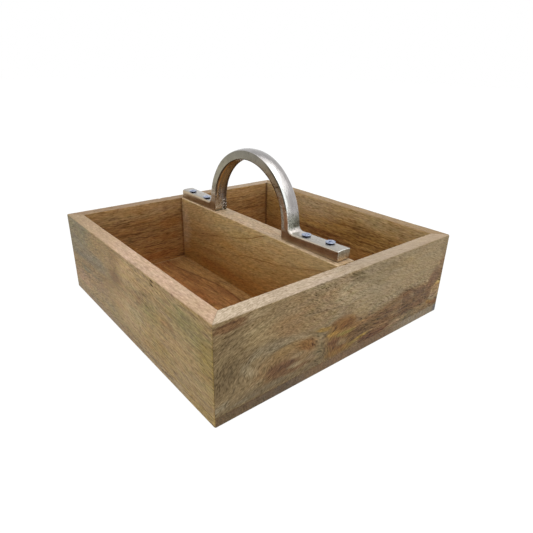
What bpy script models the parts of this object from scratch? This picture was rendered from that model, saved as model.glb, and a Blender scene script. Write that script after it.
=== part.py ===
# Cutlery caddy: four mitred boards on a full-size base board, one thick
# divider, and a cast arch handle held to the divider's top by four screws.
#
# Frame: metres, +Z up, origin at the centre of the footprint on the ground.
# +X runs along the divider, +Y across it.

import math

import bmesh
import bpy
from mathutils import Matrix, Vector

# ---------------------------------------------------------------- dimensions
WIDTH = 0.2500            # outside, along X
DEPTH = 0.2475            # outside, along Y
RIM_Z = 0.0755            # top of the walls and of the divider
BASE_T = 0.0075           # base board
WALL_T = 0.0120           # walls
DIVIDER_T = 0.0180        # divider
DIVIDER_Y = 0.0020        # divider's middle plane, a little off centre
GAP = 0.0003              # glue line, and clearance between touching pieces
EDGE_R = 0.0012           # sanded rounding of rim and corners
EASE = 0.0004             # light easing of the other long edges

HANDLE_X = -0.0026        # middle of the arch
HANDLE_Y = 0.0020
HANDLE_YAW = math.radians(0.65)   # screwed down a touch askew
HANDLE_W = 0.0134         # width of the casting, across the divider
FOOT_HALF = 0.1104        # from the middle of the arch to a foot's end
FOOT_T_LEG = 0.0076       # foot thickness beside the leg
FOOT_T_END = 0.0085       # foot thickness at the free end
ARCH_R_OUT = 0.0559
ARCH_R_IN = 0.0481
ARCH_Z = 0.0090           # arch centre above the divider's top
FILLET_R = 0.0050         # between the leg's outside and the foot
CROWN_ARCH = 0.0013       # how far the outer face bulges, on the arch
CROWN_FOOT = 0.0005       # and on the feet
CHAMFER = 0.0007          # along the outer edges of the casting

SEGMENTS = 24             # round pieces seen from above
BASE_SEGMENTS = 16        # and those under the base

HANDLE_SCREW = dict(head_r=0.0040, rim=0.0004, dome=0.00025, shank_r=0.0020,
                    length=0.0290, tip=0.0050, cross=0.0023, slot=0.0011,
                    depth=0.0019, segments=SEGMENTS)
HANDLE_SCREW_PROUD = 0.0013
# along and across the casting, from the middle of the arch
HANDLE_SCREW_AT = ((-0.0965, -0.0022), (-0.0698, -0.0024),
                   (0.0710, -0.0003), (0.0946, 0.0021))

BASE_SCREW = dict(head_r=0.0035, rim=0.0003, dome=0.0, shank_r=0.00175,
                  length=0.0280, tip=0.0045, cross=0.0020, slot=0.0010,
                  depth=0.0016, segments=BASE_SEGMENTS)
BASE_SCREW_SUNK = 0.0006
BASE_SCREW_REACH = 0.078  # along each board, from its middle

WOOD_PALE = (0.46, 0.34, 0.21)
WOOD_MID = (0.36, 0.24, 0.13)
WOOD_DARK = (0.27, 0.16, 0.08)
ALUMINIUM = (0.62, 0.62, 0.60)
ZINC = (0.66, 0.69, 0.76)


# ------------------------------------------------------------------- helpers
def clear_scene():
    for ob in list(bpy.data.objects):
        bpy.data.objects.remove(ob, do_unlink=True)


def material(name, colour, roughness, metallic):
    mat = bpy.data.materials.new(name)
    mat.use_nodes = True
    bsdf = next(n for n in mat.node_tree.nodes if n.type == 'BSDF_PRINCIPLED')
    bsdf.inputs['Base Color'].default_value = (*colour, 1.0)
    bsdf.inputs['Roughness'].default_value = roughness
    bsdf.inputs['Metallic'].default_value = metallic
    mat.diffuse_color = (*colour, 1.0)
    return mat


def add_object(name, mesh, mat=None):
    ob = bpy.data.objects.new(name, mesh)
    bpy.context.scene.collection.objects.link(ob)
    if mat is not None:
        ob.data.materials.clear()
        ob.data.materials.append(mat)
    return ob


def loft(name, rings, smooth_angle=None):
    """A closed body through rings of equal length, with flat ends."""
    bm = bmesh.new()
    rows = [[bm.verts.new(p) for p in ring] for ring in rings]
    count = len(rings[0])
    for low, high in zip(rows, rows[1:]):
        for i in range(count):
            j = (i + 1) % count
            bm.faces.new((low[i], low[j], high[j], high[i]))
    bm.faces.new(list(reversed(rows[0])))
    bm.faces.new(rows[-1])
    bmesh.ops.remove_doubles(bm, verts=bm.verts, dist=1e-6)
    bmesh.ops.recalc_face_normals(bm, faces=bm.faces)
    mesh = bpy.data.meshes.new(name)
    bm.to_mesh(mesh)
    bm.free()
    if smooth_angle is not None:
        mesh.shade_smooth()
        mesh.set_sharp_from_angle(angle=smooth_angle)
    return mesh


def turned(name, profile, segments=SEGMENTS):
    """A closed body of revolution about Z; profile is (radius, z), top down,
    starting and ending on the axis."""
    bm = bmesh.new()
    rows = []
    for r, z in profile:
        if r < 1e-9:
            rows.append([bm.verts.new((0.0, 0.0, z))])
        else:
            rows.append([bm.verts.new((r * math.cos(a), r * math.sin(a), z))
                         for a in (2 * math.pi * k / segments
                                   for k in range(segments))])
    for high, low in zip(rows, rows[1:]):
        for i in range(segments):
            j = (i + 1) % segments
            quad = [high[i % len(high)], low[i % len(low)],
                    low[j % len(low)], high[j % len(high)]]
            face = []
            for v in quad:
                if v not in face:
                    face.append(v)
            bm.faces.new(face)
    bmesh.ops.recalc_face_normals(bm, faces=bm.faces)
    mesh = bpy.data.meshes.new(name)
    bm.to_mesh(mesh)
    bm.free()
    mesh.shade_smooth()
    mesh.set_sharp_from_angle(angle=math.radians(32))
    return mesh


def merge_meshes(name, parts):
    """One mesh of several closed bodies that don't touch, for a cutter."""
    bm = bmesh.new()
    for mesh, matrix in parts:
        start = len(bm.verts)
        bm.from_mesh(mesh)
        bm.verts.ensure_lookup_table()
        bmesh.ops.transform(bm, matrix=matrix, verts=bm.verts[start:])
    out = bpy.data.meshes.new(name)
    bm.to_mesh(out)
    bm.free()
    return out


def cut(target, cutter_mesh, name):
    cutter = add_object(name, cutter_mesh)
    cutter.matrix_world = target.matrix_world.copy()
    cutter.hide_render = True
    cutter.display_type = 'WIRE'
    mod = target.modifiers.new('cut_' + name, 'BOOLEAN')
    mod.operation = 'DIFFERENCE'
    mod.solver = 'EXACT'
    mod.object = cutter
    return cutter


def arc(cx, cz, r, a0, a1, steps):
    return [(cx + r * math.cos(a0 + (a1 - a0) * k / steps),
             cz + r * math.sin(a0 + (a1 - a0) * k / steps))
            for k in range(steps + 1)]


# --------------------------------------------------------------------- walls
def wall_section(steps=3):
    """Section of a wall as (distance in from the outer face, height)."""
    low = BASE_T + GAP
    return ([(EASE, low), (0.0, low + EASE)]
            + arc(EDGE_R, RIM_Z - EDGE_R, EDGE_R, math.pi, math.pi / 2, steps)
            + arc(WALL_T - EDGE_R, RIM_Z - EDGE_R, EDGE_R,
                  math.pi / 2, 0.0, steps)
            + [(WALL_T, low)])


def wall_mesh(name, half_length, outer, turns=3):
    """A board along X whose outer face lies at y = -outer. Its section turns
    the rounded corner as far as the mitre plane at each end."""
    section = wall_section()
    back = GAP / 2 * math.sqrt(2.0)      # each mitre face, off its plane

    def station(angle, side):
        ring = []
        for d, z in section:
            r = max(EDGE_R - d, 0.0)
            c = max(EDGE_R, d)
            x = half_length - c + r * math.cos(angle) - back
            y = -outer + c + r * math.sin(angle)
            ring.append((side * x, y, z))
        return ring

    angles = [math.radians(-90 + 45 * k / turns) for k in range(turns + 1)]
    rings = ([station(a, -1) for a in reversed(angles)]
             + [station(a, 1) for a in angles])
    # the first station past the straight run starts where the corner does
    return loft(name, rings, math.radians(50))


def pilot_hole(radius, top, bottom):
    """Cutter for a blind hole drilled up from below, with a pointed end."""
    return turned('pilot', [(0.0, top), (radius, top - radius),
                            (radius, bottom), (0.0, bottom)], BASE_SEGMENTS)


# ----------------------------------------------------------------- base board
def rounded_rectangle(half_x, half_y, inset, steps=4):
    r = max(EDGE_R - inset, 0.0004)
    cx, cy = half_x - inset - r, half_y - inset - r
    pts = []
    for sx, sy, start in ((1, 1, 0), (-1, 1, 90), (-1, -1, 180), (1, -1, 270)):
        for k in range(steps + 1):
            a = math.radians(start + 90 * k / steps)
            pts.append((sx * cx + r * math.cos(a), sy * cy + r * math.sin(a)))
    return pts


def base_mesh():
    levels = ((0.0, EASE), (EASE, 0.0), (BASE_T - EASE, 0.0), (BASE_T, EASE))
    rings = [[(x, y, z) for x, y in
              rounded_rectangle(WIDTH / 2, DEPTH / 2, inset)]
             for z, inset in levels]
    return loft('base_board', rings, math.radians(50))


# --------------------------------------------------------------------- screws
def screw_profile(s, grow=0.0, reach=0.0):
    """Profile of a flat-headed wood screw, head up, its rim's top at z = 0.
    grow widens it all round for the hole it sits in."""
    slope = grow * math.sqrt(2.0) - grow
    cone = s['head_r'] - s['shank_r']
    return [(s['head_r'] + grow + slope, -s['rim']),
            (s['shank_r'] + grow, -s['rim'] - cone - slope),
            (s['shank_r'] + grow, -s['length'] + s['tip'] - reach)]


def screw_mesh(name, s):
    head_r, rim, dome = s['head_r'], s['rim'], s['dome']
    top = [(0.0, dome)]
    if dome > 0:
        top += [(head_r * 0.45, dome * 0.82), (head_r * 0.8, dome * 0.36)]
    profile = (top + [(head_r - 0.00015, 0.0), (head_r, -0.00015),
                      (head_r, -rim)]
               + screw_profile(s)[1:] + [(0.0, -s['length'])])
    body = add_object(name + '_blank',
                      turned(name + '_blank', profile, s['segments']))

    # cross recess: a tapered plus-shaped pocket
    def plus(reach, half, z):
        return [(reach, -half, z), (reach, half, z), (half, half, z),
                (half, reach, z), (-half, reach, z), (-half, half, z),
                (-reach, half, z), (-reach, -half, z), (-half, -half, z),
                (-half, -reach, z), (half, -reach, z), (half, -half, z)]
    pocket = loft('recess', [plus(s['cross'] * 0.36, s['slot'] * 0.34,
                                  dome - s['depth']),
                             plus(s['cross'] * 0.62, s['slot'] * 0.42,
                                  dome - s['depth'] * 0.62),
                             plus(s['cross'], s['slot'] * 0.5,
                                  dome + 0.0004)])
    cutter = cut(body, pocket, name + '_recess')
    graph = bpy.context.evaluated_depsgraph_get()
    graph.update()
    mesh = bpy.data.meshes.new_from_object(body.evaluated_get(graph))
    mesh.name = name
    bpy.data.objects.remove(body, do_unlink=True)
    bpy.data.objects.remove(cutter, do_unlink=True)
    mesh.shade_smooth()
    mesh.set_sharp_from_angle(angle=math.radians(32))
    return mesh


def seat_mesh(name, s, reach, above):
    """Cutter for the hole of a screw: its own profile, grown by the gap."""
    wide, waist, end = screw_profile(s, GAP, reach)
    return turned(name, [(0.0, above), (wide[0], above), wide, waist, end,
                         (0.0, end[1] - s['shank_r'] - GAP)], s['segments'])


# --------------------------------------------------------------------- handle
def foot_height(x):
    """Thickness of the foot at a distance x from the middle of the arch."""
    x0, _, _ = fillet_place()
    t = min(max((abs(x) - x0) / (FOOT_HALF - x0), 0.0), 1.0)
    return FOOT_T_LEG + (FOOT_T_END - FOOT_T_LEG) * t


def fillet_place():
    """Centre of the fillet that is tangent to the foot and to the arch, and
    the arch angle at which it meets the arch."""
    dz = FOOT_T_LEG + FILLET_R - ARCH_Z
    x = math.sqrt((ARCH_R_OUT + FILLET_R) ** 2 - dz ** 2)
    return x, FOOT_T_LEG + FILLET_R, math.atan2(dz, x)


def handle_stations(foot_steps=2, fillet_steps=6, arch_steps=44):
    """Half of the casting, from the free end of the right foot to the top of
    the arch: (outer point, outer normal, inner point, crown)."""
    fx, fz, phi = fillet_place()
    out = []
    for k in range(foot_steps):
        t = k / foot_steps
        x = FOOT_HALF + (fx - FOOT_HALF) * t
        out.append(((x, foot_height(x)), (0.0, 1.0), (x, 0.0), CROWN_FOOT))
    for k in range(fillet_steps + 1):
        t = k / fillet_steps
        a = -math.pi / 2 - (math.pi / 2 - phi) * t
        p = (fx + FILLET_R * math.cos(a), fz + FILLET_R * math.sin(a))
        n = (-math.cos(a), -math.sin(a))
        inner = (fx + (ARCH_R_IN - fx) * t, 0.0)
        out.append((p, n, inner, CROWN_FOOT + (CROWN_ARCH - CROWN_FOOT) * t))
    half = arch_steps // 2
    for k in range(1, half + 1):
        a = phi + (math.pi / 2 - phi) * k / half
        b = math.pi / 2 * (k - 1) / (half - 1)
        out.append(((ARCH_R_OUT * math.cos(a), ARCH_Z + ARCH_R_OUT * math.sin(a)),
                    (math.cos(a), math.sin(a)),
                    (ARCH_R_IN * math.cos(b), ARCH_Z + ARCH_R_IN * math.sin(b)),
                    CROWN_ARCH))
    return out


def handle_mesh():
    half = handle_stations()
    mirrored = [((-p[0], p[1]), (-n[0], n[1]), (-q[0], q[1]), c)
                for p, n, q, c in half[:-1]]
    stations = half + list(reversed(mirrored))
    edge = HANDLE_W / 2
    flat = edge - CHAMFER
    rings = []
    for (px, pz), (nx, nz), (qx, qz), crown in stations:
        ring = [(qx, -edge, qz), (qx, edge, qz)]
        for y, lift in ((edge, -CHAMFER), (flat, 0.0), (flat * 0.5, None),
                        (0.0, None), (-flat * 0.5, None), (-flat, 0.0),
                        (-edge, -CHAMFER)):
            if lift is None:
                lift = crown * (1 - (y / flat) ** 2)
            ring.append((px + nx * lift, y, pz + nz * lift))
        rings.append(ring)
    return loft('handle', rings, math.radians(35))


# ---------------------------------------------------------------------- build
def build():
    clear_scene()
    wood_base = material('wood_base', WOOD_MID, 0.55, 0.0)
    wood_front = material('wood_front', WOOD_PALE, 0.55, 0.0)
    wood_right = material('wood_right', (0.42, 0.33, 0.22), 0.55, 0.0)
    wood_back = material('wood_back', WOOD_DARK, 0.55, 0.0)
    wood_left = material('wood_left', (0.30, 0.19, 0.10), 0.55, 0.0)
    wood_divider = material('wood_divider', (0.40, 0.28, 0.14), 0.5, 0.0)
    cast = material('cast_aluminium', ALUMINIUM, 0.35, 1.0)

    # base board, with countersunk holes drilled from below
    base = add_object('base_board', base_mesh(), wood_base)

    walls = {
        'wall_front': (WIDTH / 2, DEPTH / 2, 0.0, wood_front),
        'wall_right': (DEPTH / 2, WIDTH / 2, 90.0, wood_right),
        'wall_back': (WIDTH / 2, DEPTH / 2, 180.0, wood_back),
        'wall_left': (DEPTH / 2, WIDTH / 2, 270.0, wood_left),
    }
    drilled = []
    hole = pilot_hole(BASE_SCREW['shank_r'] + GAP,
                      BASE_SCREW_SUNK + BASE_SCREW['length'] + 0.0015,
                      BASE_T - 0.002)
    for name, (half, outer, turn, mat) in walls.items():
        ob = add_object(name, wall_mesh(name, half, outer), mat)
        ob.rotation_euler = (0.0, 0.0, math.radians(turn))
        mid = -outer + WALL_T / 2
        spots = [Vector((s * BASE_SCREW_REACH, mid, 0.0)) for s in (-1, 1)]
        bpy.context.view_layer.update()
        cut(ob, merge_meshes(name + '_holes',
                             [(hole, Matrix.Translation(p)) for p in spots]),
            name + '_holes')
        drilled += [ob.matrix_world @ p for p in spots]

    # divider, butted between the left and right walls
    low = BASE_T + GAP
    section = ([(-DIVIDER_T / 2, low)]
               + arc(-DIVIDER_T / 2 + 0.0008, RIM_Z - 0.0008, 0.0008,
                     math.pi, math.pi / 2, 2)
               + arc(DIVIDER_T / 2 - 0.0008, RIM_Z - 0.0008, 0.0008,
                     math.pi / 2, 0.0, 2)
               + [(DIVIDER_T / 2, low)])
    reach = WIDTH / 2 - WALL_T - GAP
    divider = add_object('divider', loft(
        'divider', [[(x, y, z) for y, z in section] for x in (-reach, reach)],
        math.radians(50)), wood_divider)
    divider.location = (0.0, DIVIDER_Y, 0.0)
    bpy.context.view_layer.update()
    from_below = [Vector((s * BASE_SCREW_REACH * 0.6, 0.0, 0.0))
                  for s in (-1, 1)]
    drilled += [divider.matrix_world @ p for p in from_below]

    # the casting, its two screws a foot, and the holes for them
    place = (Matrix.Translation((HANDLE_X, HANDLE_Y, RIM_Z + GAP))
             @ Matrix.Rotation(HANDLE_YAW, 4, 'Z'))
    handle = add_object('handle', handle_mesh(), cast)
    handle.matrix_world = place
    bpy.context.view_layer.update()
    seat = seat_mesh("seat", HANDLE_SCREW, 0.0045, 0.004)
    tops = []
    for x, y in HANDLE_SCREW_AT:
        z = foot_height(x) + CROWN_FOOT * 0.8 + HANDLE_SCREW_PROUD
        tops.append(Matrix.Translation((x, y, z)))
    cut(handle, merge_meshes('handle_holes', [(seat, m) for m in tops]),
        'handle_holes')
    to_divider = divider.matrix_world.inverted() @ place
    cut(divider, merge_meshes(
        'divider_holes',
        [(seat, to_divider @ m) for m in tops]
        + [(hole, Matrix.Translation(p)) for p in from_below]),
        'divider_holes')

    # fasteners
    mesh = screw_mesh('handle_screw', HANDLE_SCREW)
    for k, m in enumerate(tops):
        name = 'handle_screw_%d' % (k + 1)
        one = mesh.copy()
        one.name = name
        ob = add_object(name, one, material('zinc_' + name, ZINC, 0.3, 1.0))
        ob.matrix_world = place @ m @ Matrix.Rotation(
            math.radians((20, 63, 38, 5)[k]), 4, 'Z')
    mesh = screw_mesh('base_screw', BASE_SCREW)
    head_down = Matrix.Rotation(math.pi, 4, 'X')
    for k, p in enumerate(drilled):
        name = 'base_screw_%d' % (k + 1)
        one = mesh.copy()
        one.name = name
        ob = add_object(name, one, material('zinc_' + name, ZINC, 0.35, 1.0))
        ob.matrix_world = (Matrix.Translation((p.x, p.y, BASE_SCREW_SUNK))
                           @ Matrix.Rotation(math.radians(37 * k), 4, 'Z')
                           @ head_down)
    sunk = seat_mesh('sunk', BASE_SCREW, 0.004, 0.004)
    cut(base, merge_meshes('base_holes', [
        (sunk, Matrix.Translation((p.x, p.y, BASE_SCREW_SUNK)) @ head_down)
        for p in drilled]), 'base_holes')


build()
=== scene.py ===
# The looks of a wooden cutlery caddy with a cast arch handle: fine meshes of
# every board, of the casting and of the screws, with node-based materials.
#
# Frame: metres, +Z up, origin at the centre of the footprint on the ground.
# +X runs along the divider, +Y across it. Material nodes work in millimetres.

import math
import random

import bmesh
import bpy
from mathutils import Euler, Matrix, Vector, noise


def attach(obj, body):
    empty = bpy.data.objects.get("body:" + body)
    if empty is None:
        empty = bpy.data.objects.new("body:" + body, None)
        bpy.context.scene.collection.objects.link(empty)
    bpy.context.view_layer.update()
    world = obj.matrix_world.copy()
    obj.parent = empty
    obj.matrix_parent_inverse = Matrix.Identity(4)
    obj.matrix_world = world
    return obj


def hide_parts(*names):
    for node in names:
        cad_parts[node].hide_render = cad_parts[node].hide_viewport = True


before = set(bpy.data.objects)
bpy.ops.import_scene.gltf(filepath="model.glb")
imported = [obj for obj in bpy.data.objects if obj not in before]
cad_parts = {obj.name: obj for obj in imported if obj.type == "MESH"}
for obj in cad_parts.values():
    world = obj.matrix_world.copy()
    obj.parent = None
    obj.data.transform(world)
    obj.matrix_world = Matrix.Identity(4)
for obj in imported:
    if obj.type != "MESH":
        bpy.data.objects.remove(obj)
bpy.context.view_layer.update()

# ---------------------------------------------------------------- dimensions
WIDTH = 0.2500
DEPTH = 0.2475
RIM_Z = 0.0755
BASE_T = 0.0075
WALL_T = 0.0120
DIVIDER_T = 0.0180
DIVIDER_Y = 0.0020
GAP = 0.0003
JOINT = 0.00005          # joints are drawn closer than the solids' glue lines
CORNER_R = 0.0012

HANDLE_X = -0.0026
HANDLE_Y = 0.0020
HANDLE_YAW = math.radians(0.65)
HANDLE_W = 0.0134
FOOT_HALF = 0.1104
FOOT_T_LEG = 0.0076
FOOT_T_END = 0.0085
ARCH_R_OUT = 0.0559
ARCH_R_IN = 0.0481
ARCH_Z = 0.0090
FILLET_R = 0.0050
CROWN_ARCH = 0.0013
CROWN_FOOT = 0.0005
HANDLE_SCREW_PROUD = 0.0013
HANDLE_SCREW_AT = ((-0.0965, -0.0022), (-0.0698, -0.0024),
                   (0.0710, -0.0003), (0.0946, 0.0021))
HANDLE_SCREW_TURN = (20, 63, 38, 5)
BASE_SCREW_SUNK = 0.0006
BASE_SCREW_REACH = 0.078

DENT_RANDOM = random.Random(7)


# ==================================================================== meshes
def new_object(name, mesh, mat):
    ob = bpy.data.objects.new(name, mesh)
    bpy.context.scene.collection.objects.link(ob)
    mesh.materials.clear()
    mesh.materials.append(mat)
    return ob


def loft(name, rings, matrix=None):
    """A closed smooth-shaded body through rings of equal length."""
    bm = bmesh.new()
    rows = [[bm.verts.new(p) for p in ring] for ring in rings]
    count = len(rings[0])
    for low, high in zip(rows, rows[1:]):
        for i in range(count):
            j = (i + 1) % count
            bm.faces.new((low[i], low[j], high[j], high[i]))
    bm.faces.new(list(reversed(rows[0])))
    bm.faces.new(rows[-1])
    bmesh.ops.remove_doubles(bm, verts=bm.verts, dist=1e-6)
    bmesh.ops.recalc_face_normals(bm, faces=bm.faces)
    if matrix is not None:
        bmesh.ops.transform(bm, matrix=matrix, verts=bm.verts)
    mesh = bpy.data.meshes.new(name)
    bm.to_mesh(mesh)
    bm.free()
    mesh.shade_smooth()
    mesh.set_sharp_from_angle(angle=math.radians(38))
    return mesh


def turned(name, profile, segments):
    """A closed body of revolution about Z; profile is (radius, z), top down,
    starting and ending on the axis."""
    bm = bmesh.new()
    rows = []
    for r, z in profile:
        if r < 1e-9:
            rows.append([bm.verts.new((0.0, 0.0, z))])
        else:
            rows.append([bm.verts.new((r * math.cos(a), r * math.sin(a), z))
                         for a in (2 * math.pi * k / segments
                                   for k in range(segments))])
    for high, low in zip(rows, rows[1:]):
        for i in range(segments):
            j = (i + 1) % segments
            quad = [high[i % len(high)], low[i % len(low)],
                    low[j % len(low)], high[j % len(high)]]
            face = []
            for v in quad:
                if v not in face:
                    face.append(v)
            bm.faces.new(face)
    bmesh.ops.recalc_face_normals(bm, faces=bm.faces)
    mesh = bpy.data.meshes.new(name)
    bm.to_mesh(mesh)
    bm.free()
    return mesh


def joined(name, parts):
    """One mesh of several closed bodies that don't touch, for a cutter."""
    bm = bmesh.new()
    for mesh, matrix in parts:
        start = len(bm.verts)
        bm.from_mesh(mesh)
        bm.verts.ensure_lookup_table()
        bmesh.ops.transform(bm, matrix=matrix, verts=bm.verts[start:])
    out = bpy.data.meshes.new(name)
    bm.to_mesh(out)
    bm.free()
    return out


def carve(mesh, cutters, sharp=38.0):
    """mesh with the cutters' shapes taken out of it."""
    body = bpy.data.objects.new('blank', mesh)
    bpy.context.scene.collection.objects.link(body)
    made = [body]
    for k, cutter in enumerate(cutters):
        tool = bpy.data.objects.new('tool', cutter)
        bpy.context.scene.collection.objects.link(tool)
        made.append(tool)
        mod = body.modifiers.new('cut%d' % k, 'BOOLEAN')
        mod.operation = 'DIFFERENCE'
        mod.solver = 'EXACT'
        mod.object = tool
    graph = bpy.context.evaluated_depsgraph_get()
    graph.update()
    out = bpy.data.meshes.new_from_object(body.evaluated_get(graph))
    for ob in made:
        bpy.data.objects.remove(ob, do_unlink=True)
    out.shade_smooth()
    out.set_sharp_from_angle(angle=math.radians(sharp))
    return out


def spread(a, b, steps, skip_ends=False):
    ks = range(1, steps) if skip_ends else range(steps + 1)
    return [a + (b - a) * k / steps for k in ks]


def rough(x, y, z, size, seed):
    """Smooth noise from -1 to 1, with features of about that size in mm."""
    return noise.noise(Vector((x * 1000 / size + 17.3 * seed,
                               y * 1000 / size - 5.1 * seed,
                               z * 1000 / size + 3.7 * seed)))


# ---------------------------------------------------------------------- boards
def corner_arc(cx, cz, r, a0, a1, steps=5):
    return [(cx + r * math.cos(a0 + (a1 - a0) * k / steps),
             cz + r * math.sin(a0 + (a1 - a0) * k / steps))
            for k in range(steps + 1)]


def wall_ring(r_out, r_in, ease):
    """Section of a wall as (distance in from the outer face, height)."""
    low = BASE_T + JOINT
    pi = math.pi
    pts = corner_arc(ease, low + ease, ease, 1.5 * pi, pi, 3)
    pts += [(0.0, z) for z in spread(low + ease + 0.0004,
                                     RIM_Z - 0.0022, 24)]
    pts += corner_arc(r_out, RIM_Z - r_out, r_out, pi, pi / 2)
    pts += [(d, RIM_Z) for d in spread(0.0023, WALL_T - 0.0017, 5)]
    pts += corner_arc(WALL_T - r_in, RIM_Z - r_in, r_in, pi / 2, 0.0)
    pts += [(WALL_T, z) for z in spread(RIM_Z - 0.0018, low + 0.0004, 20)]
    pts += [(WALL_T, low)]
    pts += [(d, low) for d in spread(WALL_T, ease, 4, True)]
    return pts


def wall_mesh(name, half_length, outer, turn, seed, stations=150, turns=5):
    """A board along X whose outer face lies at y = -outer, turned into place
    about Z. Its section turns the rounded corner as far as the mitre plane at
    each end. Edges are sanded by hand, so their rounding wanders."""
    back = JOINT * math.sqrt(2.0)
    nicks = []
    for _ in range(9):
        nicks.append((DENT_RANDOM.uniform(-0.96, 0.96) * half_length,
                      DENT_RANDOM.choice((0.0, WALL_T)),
                      DENT_RANDOM.uniform(0.0010, 0.0030),
                      DENT_RANDOM.uniform(0.00010, 0.00032)))

    def section(x):
        a = rough(x, 0, 0, 28, seed)
        b = rough(x, 1, 0, 9, seed + 3)
        c = rough(x, 0, 2, 34, seed + 5)
        return wall_ring(0.00125 + 0.00045 * a + 0.00018 * b,
                         0.00075 + 0.00028 * c + 0.00012 * b,
                         0.00013 + 0.00005 * rough(x, 3, 0, 20, seed + 8))

    def place(x, y, z, d):
        # boards are never dead flat, and edges carry small knocks
        y += 0.00009 * rough(x, y, z, 55, seed) * (1 if d < 0.006 else -1)
        y += 0.00003 * rough(x, y, z, 12, seed + 1) * (1 if d < 0.006 else -1)
        if z > RIM_Z - 0.006:
            z += 0.00010 * rough(x, 0, 0, 60, seed + 2)
            for nx, nd, size, depth in nicks:
                away = math.sqrt((x - nx) ** 2 + (d - nd) ** 2
                                 + (z - RIM_Z) ** 2)
                if away < size:
                    k = (1 - (away / size) ** 2) ** 2 * depth
                    z -= k
                    y += k if nd < 0.006 else -k
        return (x, y, z)

    def station(angle, side=1, share=None):
        base_x = half_length * side if share is None else share * half_length
        ring = []
        for d, z in section(base_x):
            r = max(CORNER_R - d, 0.0)
            c = max(CORNER_R, d)
            if share is None:
                x = side * (half_length - c + r * math.cos(angle) - back)
                y = -outer + c + r * math.sin(angle)
            else:
                x = share * (half_length - c - back)
                y = -outer + c - r
            ring.append(place(x, y, z, d))
        return ring

    angles = [math.radians(-90 + 45 * k / turns) for k in range(turns + 1)]
    rings = [station(a, -1) for a in reversed(angles)]
    rings += [station(None, share=s) for s in
              spread(-1.0, 1.0, stations, True)]
    rings += [station(a, 1) for a in angles]
    return loft(name, rings, Matrix.Rotation(math.radians(turn), 4, 'Z'))


def pilot_hole(radius, top, bottom):
    return turned('pilot', [(0.0, top), (radius, top - radius),
                            (radius, bottom), (0.0, bottom)], 24)


def divider_mesh(name, seed=21, stations=130):
    low = BASE_T + GAP
    reach = WIDTH / 2 - WALL_T - GAP
    half = DIVIDER_T / 2
    pi = math.pi
    rings = []
    for share in spread(-1.0, 1.0, stations):
        x = share * reach
        a = 0.0008 + 0.0003 * rough(x, 0, 0, 30, seed)
        b = 0.0008 + 0.0003 * rough(x, 4, 0, 26, seed)
        pts = [(-half, low)]
        pts += [(-half, z) for z in spread(low + 0.0004, RIM_Z - 0.0016, 20)]
        pts += corner_arc(-half + a, RIM_Z - a, a, pi, pi / 2)
        pts += [(y, RIM_Z) for y in spread(-half + 0.0015, half - 0.0015, 7)]
        pts += corner_arc(half - b, RIM_Z - b, b, pi / 2, 0.0)
        pts += [(half, z) for z in spread(RIM_Z - 0.0016, low + 0.0004, 20)]
        pts += [(half, low)]
        pts += [(y, low) for y in spread(half, -half, 5, True)]
        ring = []
        for y, z in pts:
            bulge = 0.00008 * rough(x, y, z, 60, seed)
            if abs(y) > half - 1e-5:
                y += bulge * (1 if y > 0 else -1)
            ring.append((x, y + DIVIDER_Y, z))
        rings.append(ring)
    return loft(name, rings)


def base_mesh(name, seed=31):
    """Rounded-rectangle slab with lightly sanded arrises."""
    def outline(inset, z):
        r = max(CORNER_R - inset, 0.0004)
        cx, cy = WIDTH / 2 - inset - r, DEPTH / 2 - inset - r
        pts = []
        corners = ((1, 1, 0), (-1, 1, 90), (-1, -1, 180), (1, -1, 270))
        for k, (sx, sy, start) in enumerate(corners):
            for s in range(6):
                a = math.radians(start + 90 * s / 5)
                pts.append((sx * cx + r * math.cos(a),
                            sy * cy + r * math.sin(a)))
            nx_, ny_, nstart = corners[(k + 1) % 4]
            a = math.radians(nstart)
            end = (nx_ * cx + r * math.cos(a), ny_ * cy + r * math.sin(a))
            last = pts[-1]
            for t in spread(0.0, 1.0, 90, True):
                pts.append((last[0] + (end[0] - last[0]) * t,
                            last[1] + (end[1] - last[1]) * t))
        out = []
        for x, y in pts:
            length = math.hypot(x, y)
            k = 0.00007 * rough(x, y, 0, 30, seed)
            out.append((x + k * x / length, y + k * y / length, z))
        return out

    e, top = 0.00055, 0.00014
    rings = [outline(e * (1 - math.sin(math.pi / 2 * k / 4)),
                     e * (1 - math.cos(math.pi / 2 * k / 4)))
             for k in range(5)]
    rings += [outline(0.0, z) for z in (0.0016, 0.0030, 0.0045, 0.0059)]
    rings += [outline(top * (1 - math.cos(math.pi / 2 * k / 3)),
                      BASE_T - top + top * math.sin(math.pi / 2 * k / 3))
              for k in range(4)]
    return loft(name, rings)


# ---------------------------------------------------------------------- screws
def screw_seat(head_r, shank_r, rim, length, tip, reach, above, segments=48):
    """Cutter for a countersunk hole, a little wider than its screw."""
    grow = GAP
    slope = grow * math.sqrt(2.0) - grow
    cone = head_r - shank_r
    wide = (head_r + grow + slope, -rim)
    waist = (shank_r + grow, -rim - cone - slope)
    end = (shank_r + grow, -length + tip - reach)
    return turned('seat', [(0.0, above), (wide[0], above), wide, waist, end,
                           (0.0, end[1] - shank_r - grow)], segments)


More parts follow.
